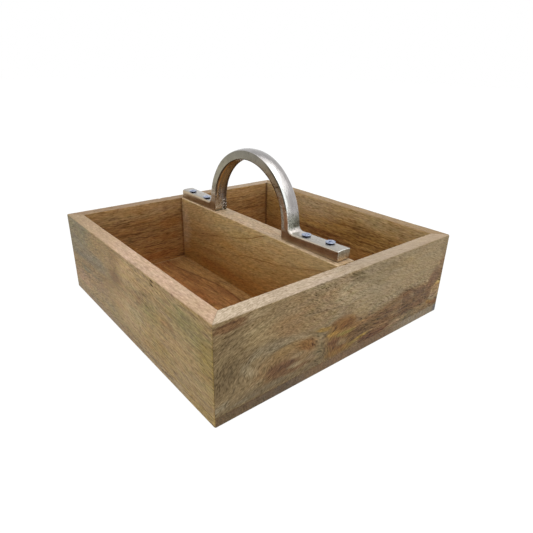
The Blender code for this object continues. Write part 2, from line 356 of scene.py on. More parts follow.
def screw_mesh(name, head_r, shank_r, rim, dome, length, tip, cross, slot,
               depth, pitch):
    """Countersunk wood screw, head up, its rim's top at z = 0: domed head with
    a cross recess, smooth neck, and a thread cut into the shank."""
    profile = [(0.0, dome)]
    for k in range(1, 9):
        t = k / 9.0
        profile.append((head_r * 0.93 * t, dome * (1 - t * t)))
    e = 0.00022
    for k in range(5):
        a = math.pi / 2 * (1 - k / 4)
        profile.append((head_r - e + e * math.cos(a),
                        -e + e * math.sin(a)))
    cone = head_r - shank_r
    profile += [(head_r, -rim), (head_r - 0.00010, -rim - 0.00012)]
    profile += [(head_r - cone * t, -rim - cone * t)
                for t in (0.25, 0.5, 0.75)]
    profile += [(shank_r + 0.00012, -rim - cone + 0.0001),
                (shank_r, -rim - cone - 0.0002)]
    neck = -rim - cone - 0.0045
    profile += [(shank_r, neck)]
    profile += [(shank_r * 0.70, neck - 0.0006)]
    profile += [(shank_r * 0.68, -length + tip)]
    profile += [(shank_r * 0.66 * (1 - t) + 0.00008, -length + tip - tip * t)
                for t in (0.2, 0.4, 0.6, 0.8, 0.97)]
    profile += [(0.0, -length)]
    blank = turned(name, profile, 56)

    def plus(reach, half, z, corner):
        """Outline of a cross with rounded inner corners and arm ends."""
        pts = []
        for q in range(4):
            turn = math.pi / 2 * q
            arm = []
            for k in range(5):
                a = -math.pi / 2 + math.pi * k / 4
                arm.append((reach - half * 0.45 + half * 0.45 * math.cos(a),
                            half * math.sin(a)))
            for k in range(1, 4):
                a = math.pi / 2 * k / 4
                arm.append((half + corner - corner * math.sin(a),
                            half + corner - corner * math.cos(a)))
            for x, y in arm:
                pts.append((x * math.cos(turn) - y * math.sin(turn),
                            x * math.sin(turn) + y * math.cos(turn), z))
        return pts
    pocket = loft('recess', [
        plus(cross * 0.30, slot * 0.22, dome - depth, slot * 0.06),
        plus(cross * 0.42, slot * 0.34, dome - depth * 0.86, slot * 0.10),
        plus(cross * 0.80, slot * 0.42, dome - depth * 0.36, slot * 0.18),
        plus(cross * 0.98, slot * 0.48, dome - 0.00012, slot * 0.26),
        plus(cross * 1.06, slot * 0.56, dome + 0.0002, slot * 0.30)])
    head = carve(blank, [pocket], sharp=34.0)

    # thread: a triangular ridge wound round the lower shank
    core = shank_r * 0.66
    start, end = neck - 0.0004, -length + 0.0008
    steps = int((start - end) / pitch * 24)
    rings = []
    for k in range(steps + 1):
        t = k / steps
        z = start + (end - start) * t
        a = 2 * math.pi * (start - z) / pitch
        over = min(max((z - (-length + tip)) / tip, -1.0), 0.0)
        fade = min(t * 12, (1 - t) * 9, 1.0)
        base_r = core * (1 + over) * 0.97 + 0.00003
        crest = base_r + (shank_r - core) * fade * (1 + 0.55 * over)
        out = Vector((math.cos(a), math.sin(a), 0.0))
        h = pitch * 0.20 * max(fade, 0.15)
        rings.append([tuple(out * base_r * 0.9 + Vector((0, 0, z + h))),
                      tuple(out * crest + Vector((0, 0, z + h * 0.12))),
                      tuple(out * crest + Vector((0, 0, z - h * 0.12))),
                      tuple(out * base_r * 0.9 + Vector((0, 0, z - h)))])
    thread = loft('thread', rings)
    body = bpy.data.objects.new('blank', head)
    tool = bpy.data.objects.new('tool', thread)
    for ob in (body, tool):
        bpy.context.scene.collection.objects.link(ob)
    mod = body.modifiers.new('thread', 'BOOLEAN')
    mod.operation = 'UNION'
    mod.solver = 'EXACT'
    mod.object = tool
    graph = bpy.context.evaluated_depsgraph_get()
    graph.update()
    out = bpy.data.meshes.new_from_object(body.evaluated_get(graph))
    for ob in (body, tool):
        bpy.data.objects.remove(ob, do_unlink=True)
    out.name = name
    out.shade_smooth()
    out.set_sharp_from_angle(angle=math.radians(34))
    return out


# ---------------------------------------------------------------------- handle
def fillet_place():
    dz = FOOT_T_LEG + FILLET_R - ARCH_Z
    x = math.sqrt((ARCH_R_OUT + FILLET_R) ** 2 - dz ** 2)
    return x, FOOT_T_LEG + FILLET_R, math.atan2(dz, x)


def foot_height(x):
    x0, _, _ = fillet_place()
    t = min(max((abs(x) - x0) / (FOOT_HALF - x0), 0.0), 1.0)
    return FOOT_T_LEG + (FOOT_T_END - FOOT_T_LEG) * t


def smooth01(t):
    t = min(max(t, 0.0), 1.0)
    return t * t * (3 - 2 * t)


def handle_path(side, foot_steps=46, fillet_steps=12, arch_steps=92):
    """Half of the casting as stations from a foot's free end to the top of the
    arch: (outer point, outer normal, inner point, facts), in the X-Z plane."""
    fx, fz, phi = fillet_place()
    right = side > 0
    out = []
    for k in range(foot_steps):
        t = k / foot_steps
        x = FOOT_HALF + (fx - FOOT_HALF) * t
        near = 0.0023 if not right else 0.0006 + 0.0009 * smooth01(t * 1.15)
        lift = 0.00045 * (1 - smooth01(t * 1.6)) if right else 0.0
        out.append(((x, foot_height(x)), (0.0, 1.0), (x, lift),
                    dict(crown=CROWN_FOOT, near=near, far=0.0009,
                         inner=0.0004, arch=0.0)))
    for k in range(fillet_steps + 1):
        t = k / fillet_steps
        a = -math.pi / 2 - (math.pi / 2 - phi) * t
        p = (fx + FILLET_R * math.cos(a), fz + FILLET_R * math.sin(a))
        n = (-math.cos(a), -math.sin(a))
        inner = (fx + (ARCH_R_IN + 0.0005 - fx) * t, 0.0)
        near = 0.0023 - 0.0014 * t if not right else 0.0015 - 0.0007 * t
        out.append((p, n, inner,
                    dict(crown=CROWN_FOOT + (CROWN_ARCH - CROWN_FOOT) * t,
                         near=near, far=0.0009, inner=0.0004, arch=0.0)))
    a1 = 0.35
    turn = 0.0005
    s1 = ARCH_Z - turn + ARCH_R_IN * a1
    for k in range(1, arch_steps + 1):
        a = phi + (math.pi / 2 - phi) * k / arch_steps
        if a < a1:
            s = s1 * (a - phi) / (a1 - phi)
            if s < ARCH_Z - turn:
                q = (ARCH_R_IN, turn + s)
            else:
                b = (s - ARCH_Z + turn) / ARCH_R_IN
                q = (ARCH_R_IN * math.cos(b), ARCH_Z + ARCH_R_IN * math.sin(b))
        else:
            q = (ARCH_R_IN * math.cos(a), ARCH_Z + ARCH_R_IN * math.sin(a))
        up = k / arch_steps
        near = 0.0009 if not right else 0.0008
        out.append(((ARCH_R_OUT * math.cos(a), ARCH_Z + ARCH_R_OUT * math.sin(a)),
                    (math.cos(a), math.sin(a)), q,
                    dict(crown=CROWN_ARCH, near=near, far=0.0011,
                         inner=0.0004 + 0.0005 * smooth01(up * 4), arch=up)))
    return out


def handle_ring(p, n, q, facts, shrink=0.0, push=0.0):
    """Points round one section of the casting: inner face flat, outer face
    crowned, each edge ground to its own rounding."""
    half = HANDLE_W / 2 - shrink
    px, pz = p[0] + push, p[1]
    qx, qz = q[0] + push, q[1]
    thick = math.hypot(px - qx, pz - qz)
    dx, dz = (px - qx) / thick, (pz - qz) / thick
    lo, hi = shrink, thick - shrink
    ri = facts['inner']
    rn, rf = max(facts['near'] - shrink, 0.0002), max(facts['far'] - shrink,
                                                       0.0002)
    crown = facts['crown']
    pts = []

    def arc(cy, ch, ry, rh, a0, steps):
        for k in range(steps + 1):
            a = math.radians(a0 + 90 * k / steps)
            pts.append((cy + ry * math.cos(a), ch + rh * math.sin(a)))
    arc(half - ri, lo + ri, ri, ri, -90, 3)               # inner far edge
    for h in spread(lo + ri, hi - rf, 7, True):
        pts.append((half, h))
    arc(half - rf, hi - rf, rf, rf, 0, 6)                 # outer far edge
    span = [half - rf - (2 * half - rf - rn) * k / 16 for k in range(1, 16)]
    pts += [(y, hi) for y in span]
    arc(-half + rn, hi - rn * 0.9, rn, rn * 0.9, 90, 8)   # outer near edge
    for h in spread(hi - rn * 0.9, lo + ri, 7, True):
        pts.append((-half, h))
    arc(-half + ri, lo + ri, ri, ri, 180, 3)              # inner near edge
    for y in spread(-half + ri, half - ri, 10, True):
        pts.append((y, lo))
    ring = []
    for y, h in pts:
        share = min(max(h / thick, 0.0), 1.0)
        bulge = crown * (1 - (y / half) ** 2) * smooth01((share - 0.55) / 0.45)
        x = qx + dx * h + n[0] * bulge
        z = qz + dz * h + n[1] * bulge
        ring.append(Vector((x, y, z)))
    return ring


def handle_mesh(name, seed=5):
    rng = random.Random(11)
    sides = []
    for side in (1, -1):
        path = handle_path(side)
        path = [((side * p[0], p[1]), (side * n[0], n[1]),
                 (side * q[0], q[1]), f) for p, n, q, f in path]
        sides.append(path)
    right, left = sides
    stations = right + left[-2::-1]
    rings = []
    # rounded free ends, then the sections between them
    e = 0.00045
    for k in range(4):
        a = math.pi / 2 * k / 4
        p, n, q, f = stations[0]
        rings.append(handle_ring(p, n, q, f, e * (1 - math.sin(a)),
                                 e * math.cos(a) - e))
    for p, n, q, f in stations[1:-1]:
        rings.append(handle_ring(p, n, q, f))
    for k in range(3, -1, -1):
        a = math.pi / 2 * k / 4
        p, n, q, f = stations[-1]
        rings.append(handle_ring(p, n, q, f, e * (1 - math.sin(a)),
                                 -(e * math.cos(a) - e)))
    mesh = loft(name, [[tuple(v) for v in ring] for ring in rings])

    # blow holes and rough skin low on the left leg's inner face, and a few
    # scattered over the rest
    pits = []
    for _ in range(26):
        pits.append((Vector((-ARCH_R_IN, rng.uniform(-0.006, 0.0062),
                             rng.uniform(0.0012, 0.0125))),
                     rng.uniform(0.0005, 0.0012), rng.uniform(0.00015, 0.0004)))
    for _ in range(16):
        a = rng.uniform(0.15, math.pi - 0.15)
        pits.append((Vector((ARCH_R_OUT * math.cos(a), rng.uniform(-.005, .005),
                             ARCH_Z + ARCH_R_OUT * math.sin(a))),
                     rng.uniform(0.0006, 0.0011),
                     rng.uniform(0.00008, 0.00018)))
    bm = bmesh.new()
    bm.from_mesh(mesh)
    bm.normal_update()
    moves = []
    for v in bm.verts:
        co, nor = v.co, v.normal
        low = 1.0 if co.z > 0.0016 else max(co.z / 0.0016, 0.0)
        skin = 1.0 - 0.65 * smooth01((co.z - 0.012) / 0.02)
        d = (0.00016 * rough(co.x, co.y, co.z, 19, seed)
             + 0.00006 * skin * rough(co.x, co.y, co.z, 6.5, seed + 1)
             + 0.00002 * skin * rough(co.x, co.y, co.z, 2.4, seed + 2)) * low
        for at, size, depth in pits:
            away = (co - at).length
            if away < size * 1.3:
                d -= depth * (1 - (away / (size * 1.3)) ** 2) ** 2
        moves.append(nor * d)
    for v, m in zip(bm.verts, moves):
        v.co += m
    bm.to_mesh(mesh)
    bm.free()
    mesh.shade_smooth()
    mesh.set_sharp_from_angle(angle=math.radians(60))
    return mesh


# ================================================================= materials
def screen(r, g, b):
    """A colour given in screen values, as linear values."""
    def one(c):
        c = c / 255.0
        return c / 12.92 if c <= 0.04045 else ((c + 0.055) / 1.055) ** 2.4
    return (one(r), one(g), one(b), 1.0)


class Val:
    """An output socket that can be reckoned with."""

    def __init__(self, net, socket):
        self.net, self.socket = net, socket

    def __add__(self, o): return self.net.math('ADD', self, o)
    def __radd__(self, o): return self.net.math('ADD', o, self)
    def __sub__(self, o): return self.net.math('SUBTRACT', self, o)
    def __rsub__(self, o): return self.net.math('SUBTRACT', o, self)
    def __mul__(self, o): return self.net.math('MULTIPLY', self, o)
    def __rmul__(self, o): return self.net.math('MULTIPLY', o, self)
    def __truediv__(self, o): return self.net.math('DIVIDE', self, o)
    def __neg__(self): return self.net.math('MULTIPLY', self, -1.0)


class Net:
    """A material under construction."""

    def __init__(self, name):
        self.mat = bpy.data.materials.new(name)
        self.mat.use_nodes = True
        self.tree = self.mat.node_tree
        self.tree.nodes.clear()
        self.out = self.node('ShaderNodeOutputMaterial')
        self.bsdf = self.node('ShaderNodeBsdfPrincipled')
        self.tree.links.new(self.bsdf.outputs[0], self.out.inputs[0])
        coords = self.node('ShaderNodeTexCoord')
        mm = self.node('ShaderNodeVectorMath', operation='SCALE')
        self.tree.links.new(coords.outputs['Object'], mm.inputs[0])
        mm.inputs['Scale'].default_value = 1000.0
        self.mm = Val(self, mm.outputs[0])
        self.x, self.y, self.z = self.split(self.mm)
        geo = self.node('ShaderNodeNewGeometry')
        self.nx, self.ny, self.nz = self.split(Val(self, geo.outputs['Normal']))

    def node(self, kind, **props):
        n = self.tree.nodes.new(kind)
        for key, value in props.items():
            setattr(n, key, value)
        return n

    def feed(self, socket, value):
        if isinstance(value, Val):
            self.tree.links.new(value.socket, socket)
        else:
            socket.default_value = value

    def math(self, op, *args, clamp=False):
        n = self.node('ShaderNodeMath', operation=op, use_clamp=clamp)
        for socket, value in zip(n.inputs, args):
            self.feed(socket, value)
        return Val(self, n.outputs[0])

    def split(self, vector):
        n = self.node('ShaderNodeSeparateXYZ')
        self.feed(n.inputs[0], vector)
        return [Val(self, s) for s in n.outputs]

    def vec(self, u, v, w=0.0):
        n = self.node('ShaderNodeCombineXYZ')
        for socket, value in zip(n.inputs, (u, v, w)):
            self.feed(socket, value)
        return Val(self, n.outputs[0])

    def placed(self, vector, at, size, angle=0.0):
        """vector seen from a frame at that place, of that size, turned."""
        n = self.node('ShaderNodeMapping', vector_type='TEXTURE')
        self.feed(n.inputs['Vector'], vector)
        n.inputs['Location'].default_value = at
        n.inputs['Rotation'].default_value = (0.0, 0.0, math.radians(angle))
        n.inputs['Scale'].default_value = size
        return Val(self, n.outputs[0])

    def noise(self, vector, size, seed=0.0, detail=2.0, roughness=0.5,
              angle=0.0):
        """Noise about 0, mostly within -1 to 1. size is the features' size in
        mm along the three axes, and angle turns the first two."""
        at = self.placed(vector, (seed * 71.3, seed * 37.9, seed * 53.1), size,
                         angle)
        n = self.node('ShaderNodeTexNoise', noise_dimensions='3D')
        self.feed(n.inputs['Vector'], at)
        n.inputs['Scale'].default_value = 1.0
        n.inputs['Detail'].default_value = detail
        n.inputs['Roughness'].default_value = roughness
        return self.math('MULTIPLY_ADD', Val(self, n.outputs[0]), 4.0, -2.0)

    def step(self, x, low, high, to_low=0.0, to_high=1.0):
        n = self.node('ShaderNodeMapRange', interpolation_type='SMOOTHSTEP')
        for key, value in (('Value', x), ('From Min', low), ('From Max', high),
                           ('To Min', to_low), ('To Max', to_high)):
            self.feed(n.inputs[key], value)
        return Val(self, n.outputs[0])

    def curve(self, x, points):
        """Smooth curve through (x, y) points, level beyond its ends."""
        x0, x1 = points[0][0], points[-1][0]
        y0 = min(p[1] for p in points)
        y1 = max(p[1] for p in points) + 1e-6
        n = self.node('ShaderNodeFloatCurve')
        line = n.mapping.curves[0]
        for k, (px, py) in enumerate(points):
            at = ((px - x0) / (x1 - x0), (py - y0) / (y1 - y0))
            if 0 < k < len(points) - 1:
                line.points.new(*at)
            else:
                line.points[0 if k == 0 else -1].location = at
        n.mapping.update()
        share = self.math('DIVIDE', x - x0, x1 - x0, clamp=True)
        self.feed(n.inputs['Value'], share)
        return self.math('MULTIPLY_ADD', Val(self, n.outputs[0]), y1 - y0, y0)

    def mix(self, fac, a, b, blend='MIX'):
        n = self.node('ShaderNodeMix', data_type='RGBA', blend_type=blend)
        self.feed(n.inputs[0], fac)
        self.feed(n.inputs[6], a)
        self.feed(n.inputs[7], b)
        return Val(self, n.outputs[2])

    def tint(self, colour, amount):
        """colour scaled by (1 + amount), amount a value about 0."""
        n = self.node('ShaderNodeVectorMath', operation='SCALE')
        self.feed(n.inputs[0], colour)
        self.feed(n.inputs['Scale'], amount + 1.0)
        return Val(self, n.outputs[0])

    def shift(self, colour, amounts):
        """colour * (1 + amounts), each channel by its own amount."""
        n = self.node('ShaderNodeVectorMath', operation='MULTIPLY_ADD')
        self.feed(n.inputs[0], colour)
        self.feed(n.inputs[1], amounts)
        self.feed(n.inputs[2], colour)
        return Val(self, n.outputs[0])

    def away(self, at, centre, radii, angle=0.0):
        """Distance from a centre, 1 on an ellipse in the (s, t) plane."""
        n = self.node('ShaderNodeVectorMath', operation='LENGTH')
        self.feed(n.inputs[0], self.placed(
            at, (centre[0], centre[1], 0.0), (radii[0], radii[1], 1.0), angle))
        return Val(self, n.outputs['Value'])

    def patch(self, centre, radii, angle=0.0, soft=0.5, wander=None,
              strength=1.0):
        """strength inside an ellipse in the (s, t) plane, falling to 0 round
        it. Ellipses of about one shape and lean share a frame, where they are
        circles, so that a board can hold very many."""
        aspect = min(self.ASPECTS, key=lambda k: abs(
            math.log(k * radii[1] / radii[0])))
        lean = min(self.LEANS, key=lambda k: abs(k - angle))
        if (aspect, lean) not in self.frames:
            self.frames[aspect, lean] = self.placed(
                self.st, (0.0, 0.0, 0.0), (aspect, 1.0, 1.0), lean)
        size = math.sqrt(radii[0] * radii[1] / aspect)
        a = math.radians(lean)
        n = self.node('ShaderNodeVectorMath', operation='DISTANCE')
        self.feed(n.inputs[0], self.frames[aspect, lean])
        n.inputs[1].default_value = (
            (centre[0] * math.cos(a) + centre[1] * math.sin(a)) / aspect,
            -centre[0] * math.sin(a) + centre[1] * math.cos(a), 0.0)
        r = Val(self, n.outputs['Value'])
        if wander is not None:
            r = self.math('MULTIPLY_ADD', wander, size, r)
        return self.step(r, size * (1.0 + soft), size * (1.0 - soft),
                         0.0, strength)

    def line(self, value, at, width):
        """1 where value is at, falling to 0 a width to either side."""
        d = self.math('ABSOLUTE', value - at)
        return self.step(d, width, 0.0)

    def span(self, x, low, high, soft):
        """1 between low and high, fading over soft at each end."""
        return (self.step(x, low - soft, low + soft)
                * self.step(x, high + soft, high - soft))

    def between(self, x, value, low, high, soft, soft_high=None):
        """1 where value lies between two curves over x, fading over soft."""
        top = soft if soft_high is None else soft_high
        return (self.step(value - self.curve(x, low), -soft, soft)
                * self.step(self.curve(x, high) - value, -top, top))

    def shade(self, colour, factors):
        n = self.node('ShaderNodeVectorMath', operation='MULTIPLY')
        self.feed(n.inputs[0], colour)
        n.inputs[1].default_value = factors
        return Val(self, n.outputs[0])

    def bump(self, height, strength, distance=0.0002):
        n = self.node('ShaderNodeBump')
        n.inputs['Strength'].default_value = strength
        n.inputs['Distance'].default_value = distance
        self.feed(n.inputs['Height'], height)
        self.tree.links.new(n.outputs[0], self.bsdf.inputs['Normal'])

    def socket(self, name, value):
        self.feed(self.bsdf.inputs[name], value)


class Wood(Net):
    """One board's wood. s runs along the board, v across its grain and d
    through it, in mm. angles are the grain's lean in degrees: where there are
    two, lean says how much of the second shows. Where the grain turns
    steeply, rise is the height up the board, so that streaks stay long."""

    ASPECTS = (0.5, 1.0, 1.6, 2.5, 4.0, 6.5, 11.0, 20.0)
    LEANS = (-40, -22, -10, -4, 0, 5, 12, 36)

    def __init__(self, name):
        super().__init__(name)
        self.frames = {}

    def grain(self, s, v, d, seed, wave=1.0, angles=(0.0,), lean=None,
              rise=None):
        raw = self.vec(s, v if rise is None else rise, d)
        self.slow = self.noise(raw, (75, 28, 28), seed, 2, 0.5)
        self.quick = self.noise(raw, (15, 6, 9), seed + 1, 2, 0.55)
        bent = v + self.slow * (2.2 * wave) + self.quick * (0.5 * wave)
        self.bent = bent
        if rise is None:
            self.g = self.vec(s, bent, d)
        else:
            self.g = self.vec(s, bent + d * 0.8, rise * 0.3)

        def field(size, offset, detail=2, roughness=0.6):
            made = [self.noise(self.g, size, seed + offset, detail, roughness,
                               a) for a in angles]
            if len(made) == 1:
                return made[0]
            return made[0] + (made[1] - made[0]) * lean
        self.broad = field((90, 14, 16), 2, 2, 0.5)
        self.streak = field((36, 3.4, 6), 3, 3)
        self.fleck = field((9, 1.9, 2.8), 4)
        self.dash = field((4.4, 1.15, 1.3), 5, 1, 0.6)
        self.fibre = field((7.0, 0.95, 1.0), 6, 1, 0.6)
        self.pore = field((3.4, 0.80, 0.9), 7, 1, 0.5)
        self.thread = field((22, 1.45, 3.0), 10, 1, 0.5)
        self.warm = self.noise(self.g, (26, 6, 9), seed + 8, 2, 0.5)
        self.green = self.noise(self.g, (10, 3, 5), seed + 9, 2, 0.5)

    def soft_edge(self, size=1.0):
        return self.quick * (0.22 * size) + self.streak * (0.22 * size)

    def torn_edge(self, size=1.0):
        return (self.streak * (0.34 * size) + self.fleck * (0.22 * size)
                + self.dash * (0.20 * size))

    def sanded(self, s, d, seed, low, high):
        """Colour of a sanded edge, with fine lines along the board."""
        at = self.vec(s, d, 0.0)
        lines = self.noise(at, (18, 1.2, 5), seed, 2, 0.6)
        hairs = self.noise(at, (6.0, 0.62, 5), seed + 0.7, 1, 0.5)
        return self.mix(self.step(lines * 0.9 + hairs, -0.9, 0.9), low, high)

    def finish(self, colour, streak=0.08, fleck=0.10, dash=0.22, fibre=0.08,
               pore=0.25, pore_at=0.45, thread=0.0, grit=0.0, warm=0.06,
               green=0.035, fade=None, coarse=None, roughness=0.52, bump=0.2):
        """Fine grain over the board's own colours, and its satin surface."""
        wide = self.streak * streak + self.fleck * fleck
        if thread:
            wide = wide - self.step(self.thread, 0.30, 1.0) * thread
        light = self.dash * dash + self.fibre * fibre
        pores = self.step(self.pore, pore_at, pore_at + 0.45)
        light = light - pores * pore
        if grit:
            light = light + self.noise(self.g, (2.0, 0.52, 0.8), 12.4, 0,
                                       0.5) * grit
        if fade is not None:
            light = light * fade
        warm = self.warm * warm
        green = self.green * green
        if coarse is not None:
            wide, warm, green = wide * coarse, warm * coarse, green * coarse
        light = light + wide
        colour = self.shift(colour, self.vec(
            light * 0.92 + warm, light + green,
            light * 1.18 - warm * 1.3 - green))
        self.socket('Base Color', colour)
        self.socket('Roughness', pores * 0.10 + self.dash * 0.03 + roughness)
        self.bsdf.inputs['Specular IOR Level'].default_value = 0.12
        self.bump(self.fibre * 0.35 + self.dash * 0.6 - pores * 1.3, bump,
                  0.00012)
        return self.mat


def wood_front():
    net = Wood('mat_wood_front')
    s, t, d = net.x, net.z, net.y + 123.75
    net.grain(s, t, d, 1.0, 0.8, (10.0, -7.0), net.step(s, -70, 30))
    net.st = net.vec(s, t)
    soft, torn = net.soft_edge(), net.torn_edge()
    c = net.mix(net.step(net.broad, -0.8, 0.8),
                screen(142, 120, 88), screen(158, 135, 102))
    c = net.mix(net.step(s, -20, 60) * 0.5, c, screen(158, 134, 98))

    def spot(colour, strength, centre, radii, angle=0.0, edge=0.4, wander=torn):
        nonlocal c
        c = net.mix(net.patch(centre, radii, angle, edge, wander, strength),
                    c, screen(*colour))

    def ribbon(colour, strength, low, high, edge, span_s, fade):
        nonlocal c
        at = (net.between(s, t + torn * (edge * 0.9), low, high, edge)
              * net.span(s, span_s[0], span_s[1], fade) * strength)
        c = net.mix(at, c, screen(*colour))
    # towards the far end: grey-olive sapwood, and a grey band that thins out
    # towards the middle
    ribbon((132, 122, 98), 0.80, [(-125, 50), (-95, 52), (-70, 60), (-50, 70)],
           [(-125, 84), (-50, 84)], 5.0, (-140, -68), 16)
    ribbon((133, 121, 101), 0.80, [(-125, 39), (-95, 40), (-70, 42), (-45, 43),
                                   (-26, 47)],
           [(-125, 61), (-100, 58), (-72, 56), (-45, 53), (-26, 50)],
           4.5, (-140, -34), 14)
    spot((150, 139, 117), 0.5, (-104, 53), (24, 2.4), 8)
    spot((142, 131, 110), 0.5, (-66, 50), (20, 2.6), 10)
    spot((130, 114, 96), 0.4, (-56, 45), (16, 3.0), 4, 0.6)
    spot((120, 108, 92), 0.6, (-108, 42), (18, 1.8), 4, 0.5)
    spot((150, 137, 92), 0.5, (-70, 63), (8, 3.4), 0, 0.6)
    spot((122, 114, 88), 0.5, (-84, 69), (10, 3.0), 4, 0.6)
    spot((116, 104, 80), 0.6, (-92, 33.5), (18, 0.9), 4)
    spot((122, 117, 98), 0.7, (-90, 30.5), (11, 1.7), 5, 0.5)
    spot((118, 104, 86), 0.65, (-60, 32.0), (13, 1.5), 4, 0.6)
    spot((126, 108, 78), 0.5, (-84, 26), (4, 2.4), 0, 0.6)
    # warm and pinkish zones
    spot((152, 130, 92), 0.6, (-114, 31), (10, 9), 0, 0.6, soft)
    spot((168, 137, 114), 0.75, (-102, 18), (22, 7.5), 8, 0.6, soft)
    spot((158, 131, 104), 0.6, (-60, 24), (30, 7), 8, 0.6, soft)
    spot((146, 130, 100), 0.6, (-100, 7), (34, 5), 0, 0.6, soft)
    spot((146, 131, 102), 0.5, (-34, 13), (30, 7), 4, 0.6, soft)
    spot((154, 128, 90), 0.7, (-52, 67), (24, 9), 4, 0.6, soft)
    spot((160, 134, 92), 0.4, (-46, 58), (14, 3), 6)
    # brown cloud a third of the way along
    spot((140, 114, 80), 0.75, (-15, 60), (14, 22), 6, 0.6, soft)
    spot((128, 101, 72), 0.8, (-18, 50), (9, 7), 12, 0.6, soft)
    spot((126, 102, 74), 0.5, (-12, 68), (8, 3), 12, 0.6)
    spot((144, 119, 86), 0.6, (-37, 38), (18, 6), 6, 0.6, soft)
    spot((184, 156, 118), 0.6, (8, 64), (16, 12), 0, 0.6, soft)
    spot((180, 154, 120), 0.6, (8, 26), (24, 16), 0, 0.7, soft)
    spot((176, 150, 112), 0.4, (36, 68), (24, 7), 0, 0.7, soft)
    # olive and greenish wood towards the near corner
    spot((150, 132, 90), 0.8, (46, 45), (18, 9), -4, 0.6, soft)
    spot((140, 126, 88), 0.7, (40, 45), (10, 4), -4, 0.6)
    spot((154, 142, 110), 0.6, (20, 31), (12, 7), 0, 0.7, soft)
    spot((144, 131, 92), 0.85, (97, 61), (24, 10), -6, 0.6, soft)
    spot((130, 120, 86), 0.6, (94, 63), (15, 4), -10)
    spot((140, 128, 88), 0.5, (112, 50), (10, 12), 0, 0.6)
    spot((160, 146, 108), 0.7, (84, 50.5), (11, 1.1), -12)
    spot((144, 124, 74), 0.8, (121, 42), (6, 40), 0, 0.5, soft)
    spot((158, 124, 78), 0.85, (57, 23.5), (6, 4.0), 0, 0.6)
    spot((152, 130, 82), 0.55, (52, 20), (20, 9), 0, 0.6, soft)
    spot((148, 118, 80), 0.5, (68, 47), (12, 3.0), -4)
    spot((150, 124, 82), 0.5, (62, 59), (14, 2.4), -4)
    spot((136, 112, 82), 0.4, (24, 51), (16, 3.4), 4)
    spot((154, 134, 100), 0.5, (106, 22), (18, 12), 0, 0.7, soft)

    def stroke(points, width, strength, low, high, colour=(98, 80, 54)):
        nonlocal c
        at = net.line(t + net.quick * 0.25 - net.curve(s, points), 0, width)
        c = net.mix(at * net.span(s, low, high, 4) * strength, c,
                    screen(*colour))
    stroke([(72, 60), (92, 59), (122, 63)], 0.8, 0.45, 76, 118)
    stroke([(84, 69), (100, 72), (118, 70)], 0.9, 0.5, 86, 114)
    stroke([(86, 66), (104, 65), (122, 67)], 0.8, 0.45, 90, 120)
    stroke([(40, 53), (80, 49), (122, 55)], 0.8, 0.3, 50, 116)
    stroke([(-8, 61), (30, 62), (60, 60)], 0.8, 0.3, 0, 52)
    stroke([(-40, 74), (20, 73), (60, 75)], 0.8, 0.3, -30, 50)
    # darker foot of the board, where glue was sanded away
    spot((138, 118, 88), 0.6, (4, 9), (24, 3.0), 0, 0.6)
    # the far arris is worn paler
    c = net.mix(net.step(s, -122.6, -124.4) * 0.4, c, screen(160, 152, 138))
    c = net.tint(c, net.step(s, -14, -62) * net.step(t, 14, 24) * -0.13)
    c = net.shade(c, (0.84, 0.80, 0.65))
    # inside, the board is browner: painted shade, like the other boards' shaded
    # inner faces
    c = net.mix(net.step(d, 5, 8), c,
                net.mix(net.step(net.streak, -0.8, 0.8),
                        screen(128, 92, 56), screen(160, 122, 80)))
    # the rim's top is sanded paler and pinker
    top = net.sanded(s, d, 1.3, screen(163, 137, 110), screen(185, 156, 131))
    top = net.mix(net.step(s, 20, 110) * 0.5, top, screen(175, 148, 120))
    top = net.mix(net.step(s, 4, -60) * 0.9, top, screen(160, 134, 104))
    top = net.mix(net.step(s, -60, -120) * 0.8, top, screen(142, 121, 92))
    lit = net.step(net.nz, 0.25, 0.8)
    c = net.mix(lit, c, top)
    # two short splits near the rim, with painted shade inside them
    c = net.mix(net.span(d, 0.20, 3.0, 0.08) * net.step(t, 74.9, 74.6)
                * net.patch((50.2, 71.8), (6.0, 4.2), 0, 0.1, None, 0.95), c,
                screen(50, 38, 20))
    return net.finish(c, streak=0.11, fleck=0.12, dash=0.26, fibre=0.34,
                      pore=0.30, thread=0.20, grit=0.10, warm=0.06,
                      green=0.055,
                      fade=1.0 - lit * 0.42, coarse=1.0 - lit * 0.6)


